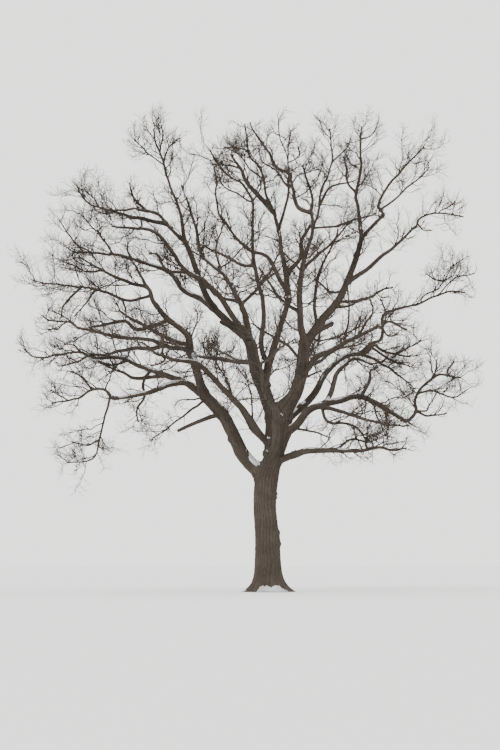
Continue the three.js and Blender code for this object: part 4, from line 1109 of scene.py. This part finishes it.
def twig_faces(shoots, splits):
    """Three-sided closed twigs that come to a point, with the shade that each face has."""
    points = zigzag(shoots, splits)
    count, joints = points.shape[:2]
    way = unit(np.gradient(points, axis=1))
    side = np.stack([-way[..., 1] + 1e-3, way[..., 0], 0 * way[..., 0]], axis=-1)
    side = unit(side)
    other = np.cross(way, side)
    share = np.linspace(0, 1, joints)[:, None]
    tip = np.maximum(shoots.girth[:, 1], 0.25 * shoots.girth[:, 0])
    radius = (shoots.girth[:, :1].T * (1 - share) + tip * share).T / 2
    turn = np.arange(3) * 2 * math.pi / 3
    ring = side[:, :, None] * np.cos(turn)[:, None] + other[:, :, None] * np.sin(turn)[:, None]
    rings = points[:, :-1, None] + ring[:, :-1] * radius[:, :-1, None, None]
    places = np.concatenate([rings.reshape(count, -1, 3), points[:, -1:]], axis=1)
    faces = [(0, 2, 1)]
    for joint in range(joints - 2):
        for s in range(3):
            a = 3 * joint + s
            b = 3 * joint + (s + 1) % 3
            faces += [(a, b, b + 3), (a, b + 3, a + 3)]
    last = 3 * (joints - 2)
    faces += [(last + s, last + (s + 1) % 3, last + 3) for s in range(3)]
    faces = np.array(faces)
    per_twig = places.shape[1]
    every = (np.arange(count)[:, None, None] * per_twig + faces).reshape(-1, 3)
    return places.reshape(-1, 3), every, np.repeat(shoots.shade, len(faces))


def new_material(name, color, roughness):
    made = bpy.data.materials.new(name)
    made.use_nodes = True
    shader = made.node_tree.nodes["Principled BSDF"]
    shader.inputs["Base Color"].default_value = (*color, 1)
    shader.inputs["Roughness"].default_value = roughness
    shader.inputs["Specular IOR Level"].default_value = 0.25
    return made


def noise_node(tree, scale, detail, stretch=None):
    place = tree.nodes.new("ShaderNodeTexCoord")
    texture = tree.nodes.new("ShaderNodeTexNoise")
    texture.inputs["Scale"].default_value = scale
    texture.inputs["Detail"].default_value = detail
    if stretch:
        mapping = tree.nodes.new("ShaderNodeMapping")
        mapping.inputs["Scale"].default_value = stretch
        tree.links.new(place.outputs["Object"], mapping.inputs["Vector"])
        tree.links.new(mapping.outputs["Vector"], texture.inputs["Vector"])
    else:
        tree.links.new(place.outputs["Object"], texture.inputs["Vector"])
    return texture


def ramp_node(tree, source, stops):
    ramp = tree.nodes.new("ShaderNodeValToRGB")
    elements = ramp.color_ramp.elements
    while len(elements) < len(stops):
        elements.new(0.5)
    for element, (position, color) in zip(elements, stops):
        element.position = position
        element.color = (*color, 1)
    tree.links.new(source, ramp.inputs["Fac"])
    return ramp


def mix_node(tree, share, first, second):
    mix = tree.nodes.new("ShaderNodeMix")
    mix.data_type = "RGBA"
    if isinstance(share, float):
        mix.inputs["Factor"].default_value = share
    else:
        tree.links.new(share, mix.inputs["Factor"])
    tree.links.new(first, mix.inputs["A"])
    tree.links.new(second, mix.inputs["B"])
    return mix.outputs["Result"]


def bump_node(tree, height, strength, distance, shader):
    bump = tree.nodes.new("ShaderNodeBump")
    bump.inputs["Strength"].default_value = strength
    bump.inputs["Distance"].default_value = distance
    tree.links.new(height, bump.inputs["Height"])
    tree.links.new(bump.outputs["Normal"], shader.inputs["Normal"])


def bark_material():
    """Grey-brown ridges with patches of paler lichen, kept very dark partly as painted shade, and furrows
    painted near-black as painted shade.
    """
    # The bark's browns, here and in the ramps below, are very dark: partly the bark's own grey-brown, partly
    # painted shade over the whole tree.
    made = new_material("bark", (0.09, 0.07, 0.055), 0.92)
    tree = made.node_tree
    shader = tree.nodes["Principled BSDF"]
    patches = noise_node(tree, 1.7, 5)
    ridges = ramp_node(tree, patches.outputs["Fac"], (
        (0.34, (0.032, 0.024, 0.017)), (0.5, (0.047, 0.036, 0.027)), (0.7, (0.07, 0.057, 0.045)),
    ))
    grain = noise_node(tree, 26, 6, (1, 1, 0.35))
    grained = ramp_node(tree, grain.outputs["Fac"], (
        (0.3, (0.03, 0.022, 0.016)), (0.7, (0.066, 0.052, 0.04)),
    ))
    ridge = mix_node(tree, 0.45, ridges.outputs["Color"], grained.outputs["Color"])
    # Painted shade: the furrow mask mixes the ridges towards near-black browns deep in the furrows.
    furrow = tree.nodes.new("ShaderNodeAttribute")
    furrow.attribute_name = "furrow"
    furrow_shade_share = ramp_node(tree, furrow.outputs["Fac"], ((0.15, (0, 0, 0)), (0.9, (1, 1, 1))))
    deep = ramp_node(tree, grain.outputs["Fac"], ((0.3, (0.018, 0.013, 0.01)), (0.7, (0.035, 0.026, 0.02))))
    color = mix_node(tree, furrow_shade_share.outputs["Color"], ridge, deep.outputs["Color"])
    tree.links.new(color, shader.inputs["Base Color"])
    bump_node(tree, grain.outputs["Fac"], 0.6, 0.012, shader)
    return made


def snow_material():
    # The snow's greys, here and in the patches below, are far darker than snow's own white: painted shade, with
    # random paler and darker patches.
    made = new_material("snow", (0.6, 0.61, 0.65), 0.7)
    tree = made.node_tree
    shader = tree.nodes["Principled BSDF"]
    patches = noise_node(tree, 3, 4)
    shaded_snow_tint = ramp_node(tree, patches.outputs["Fac"], ((0.35, (0.38, 0.38, 0.4)), (0.65, (0.54, 0.54, 0.56))))
    tree.links.new(shaded_snow_tint.outputs["Color"], shader.inputs["Base Color"])
    grain = noise_node(tree, 90, 3)
    bump_node(tree, grain.outputs["Fac"], 0.35, 0.006, shader)
    return made


# Three browns, very dark: partly the twigs' own colour, partly painted shade over the whole tree.
TWIG_COLORS = ((0.046, 0.034, 0.025), (0.062, 0.045, 0.032), (0.036, 0.028, 0.022))


def make_piece(name, parts, materials, nodes=()):
    """One joined mesh from (points, triangles, furrow or shade) parts, riding on the tree."""
    offsets = np.cumsum([0, *(len(part[0]) for part in parts[:-1])])
    points = np.concatenate([part[0] for part in parts])
    faces = np.concatenate([part[1] + offset for part, offset in zip(parts, offsets)])
    mesh = bpy.data.meshes.new(name)
    mesh.vertices.add(len(points))
    mesh.vertices.foreach_set("co", points.astype(np.float32).ravel())
    mesh.loops.add(faces.size)
    mesh.loops.foreach_set("vertex_index", faces.astype(np.int32).ravel())
    mesh.polygons.add(len(faces))
    mesh.polygons.foreach_set("loop_start", np.arange(0, faces.size, 3, dtype=np.int32))
    mesh.polygons.foreach_set("use_smooth", np.ones(len(faces), bool))
    for made in materials:
        mesh.materials.append(made)
    if len(parts[0]) > 2:
        values = np.concatenate([part[2] for part in parts])
        if len(values) == len(faces):
            mesh.polygons.foreach_set("material_index", values.astype(np.int32))
        else:
            attribute = mesh.attributes.new("furrow", "FLOAT", "POINT")
            attribute.data.foreach_set("value", values.astype(np.float32))
    mesh.update()
    piece = bpy.data.objects.new(name, mesh)
    bpy.context.scene.collection.objects.link(piece)
    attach(piece, "root")
    if nodes:
        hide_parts(*nodes)
    return piece


def make_bark():
    bark = bark_material()
    make_piece("trunk_bark", [skin_faces(skins["trunk"])], [bark], ["trunk"])
    for region in REGIONS:
        names = [name for name in skins if name != "trunk" and region_of(name) == region]
        nodes = [f"bough_{name}" for name in names if name in bough_names]
        make_piece(f"boughs_{region}", [skin_faces(skins[name]) for name in names], [bark], nodes)


def make_twigs():
    materials = [new_material(f"twig_{i}", color, 0.85) for i, color in enumerate(TWIG_COLORS)]
    crown = grow_crown()
    for index, region in enumerate(REGIONS):
        parts = [twig_faces(shoots.where(shoots.region == index), splits) for shoots, splits in crown]
        nodes = [f"twigs_{name}" for name in mass_names if region_of(name) == region]
        make_piece(f"twigs_{region}", parts, materials, nodes)


def make_snow():
    drifts = [snow_on(skin) for skin in skins.values() if skin.girth > LEAST_SNOWY]
    make_piece("snow", [drift for drift in drifts if drift], [snow_material()])


# The stage: half of the floor's width and how far it lies below the cut, the light from all round, and a lamp
# with its strength, its angle across in degrees, and how it is turned.
FLOOR_HALF = 900
FLOOR_DROP = 0.004
SKY_COLOR = (0.97, 0.965, 0.95, 1)
SKY_STRENGTH = 2.2
LAMP_STRENGTH = 1.6
LAMP_WIDE = 25
LAMP_TURN = (48, 0, -35)

# The camera: its lens and sensor in millimetres, and how far it is tilted up, in degrees.
LENS = 76.0
SENSOR = 36
TILT = 6.84


def make_stage():
    """A plain pale floor, soft light from all round and a large soft lamp."""
    mesh = bpy.data.meshes.new("floor")
    half = FLOOR_HALF
    corners = [(x, y, -FLOOR_DROP) for x, y in ((-half, -half), (half, -half), (half, half), (-half, half))]
    mesh.from_pydata(corners, [], [(0, 1, 2, 3)])
    floor = bpy.data.objects.new("floor", mesh)
    bpy.context.scene.collection.objects.link(floor)
    mesh.materials.append(new_material("floor", (0.8, 0.8, 0.8), 0.9))
    world = bpy.data.worlds.new("studio")
    bpy.context.scene.world = world
    world.use_nodes = True
    sky = world.node_tree.nodes["Background"]
    sky.inputs["Color"].default_value = SKY_COLOR
    sky.inputs["Strength"].default_value = SKY_STRENGTH
    lamp = bpy.data.lights.new("key", "SUN")
    lamp.energy = LAMP_STRENGTH
    lamp.angle = math.radians(LAMP_WIDE)
    key = bpy.data.objects.new("key", lamp)
    key.rotation_euler = [math.radians(turn) for turn in LAMP_TURN]
    bpy.context.scene.collection.objects.link(key)


def make_camera():
    """Where the picture was taken from: low, and tilted up until the tree fills the frame."""
    lens = bpy.data.cameras.new("camera")
    lens.sensor_width = SENSOR
    lens.lens = LENS
    lens.clip_end = 3000
    camera = bpy.data.objects.new("camera", lens)
    camera.location = Vector(EYE)
    camera.rotation_euler = (math.radians(90 + TILT), 0, 0)
    bpy.context.scene.collection.objects.link(camera)
    bpy.context.scene.camera = camera


make_camera()
make_bark()
make_twigs()
make_snow()
make_stage()
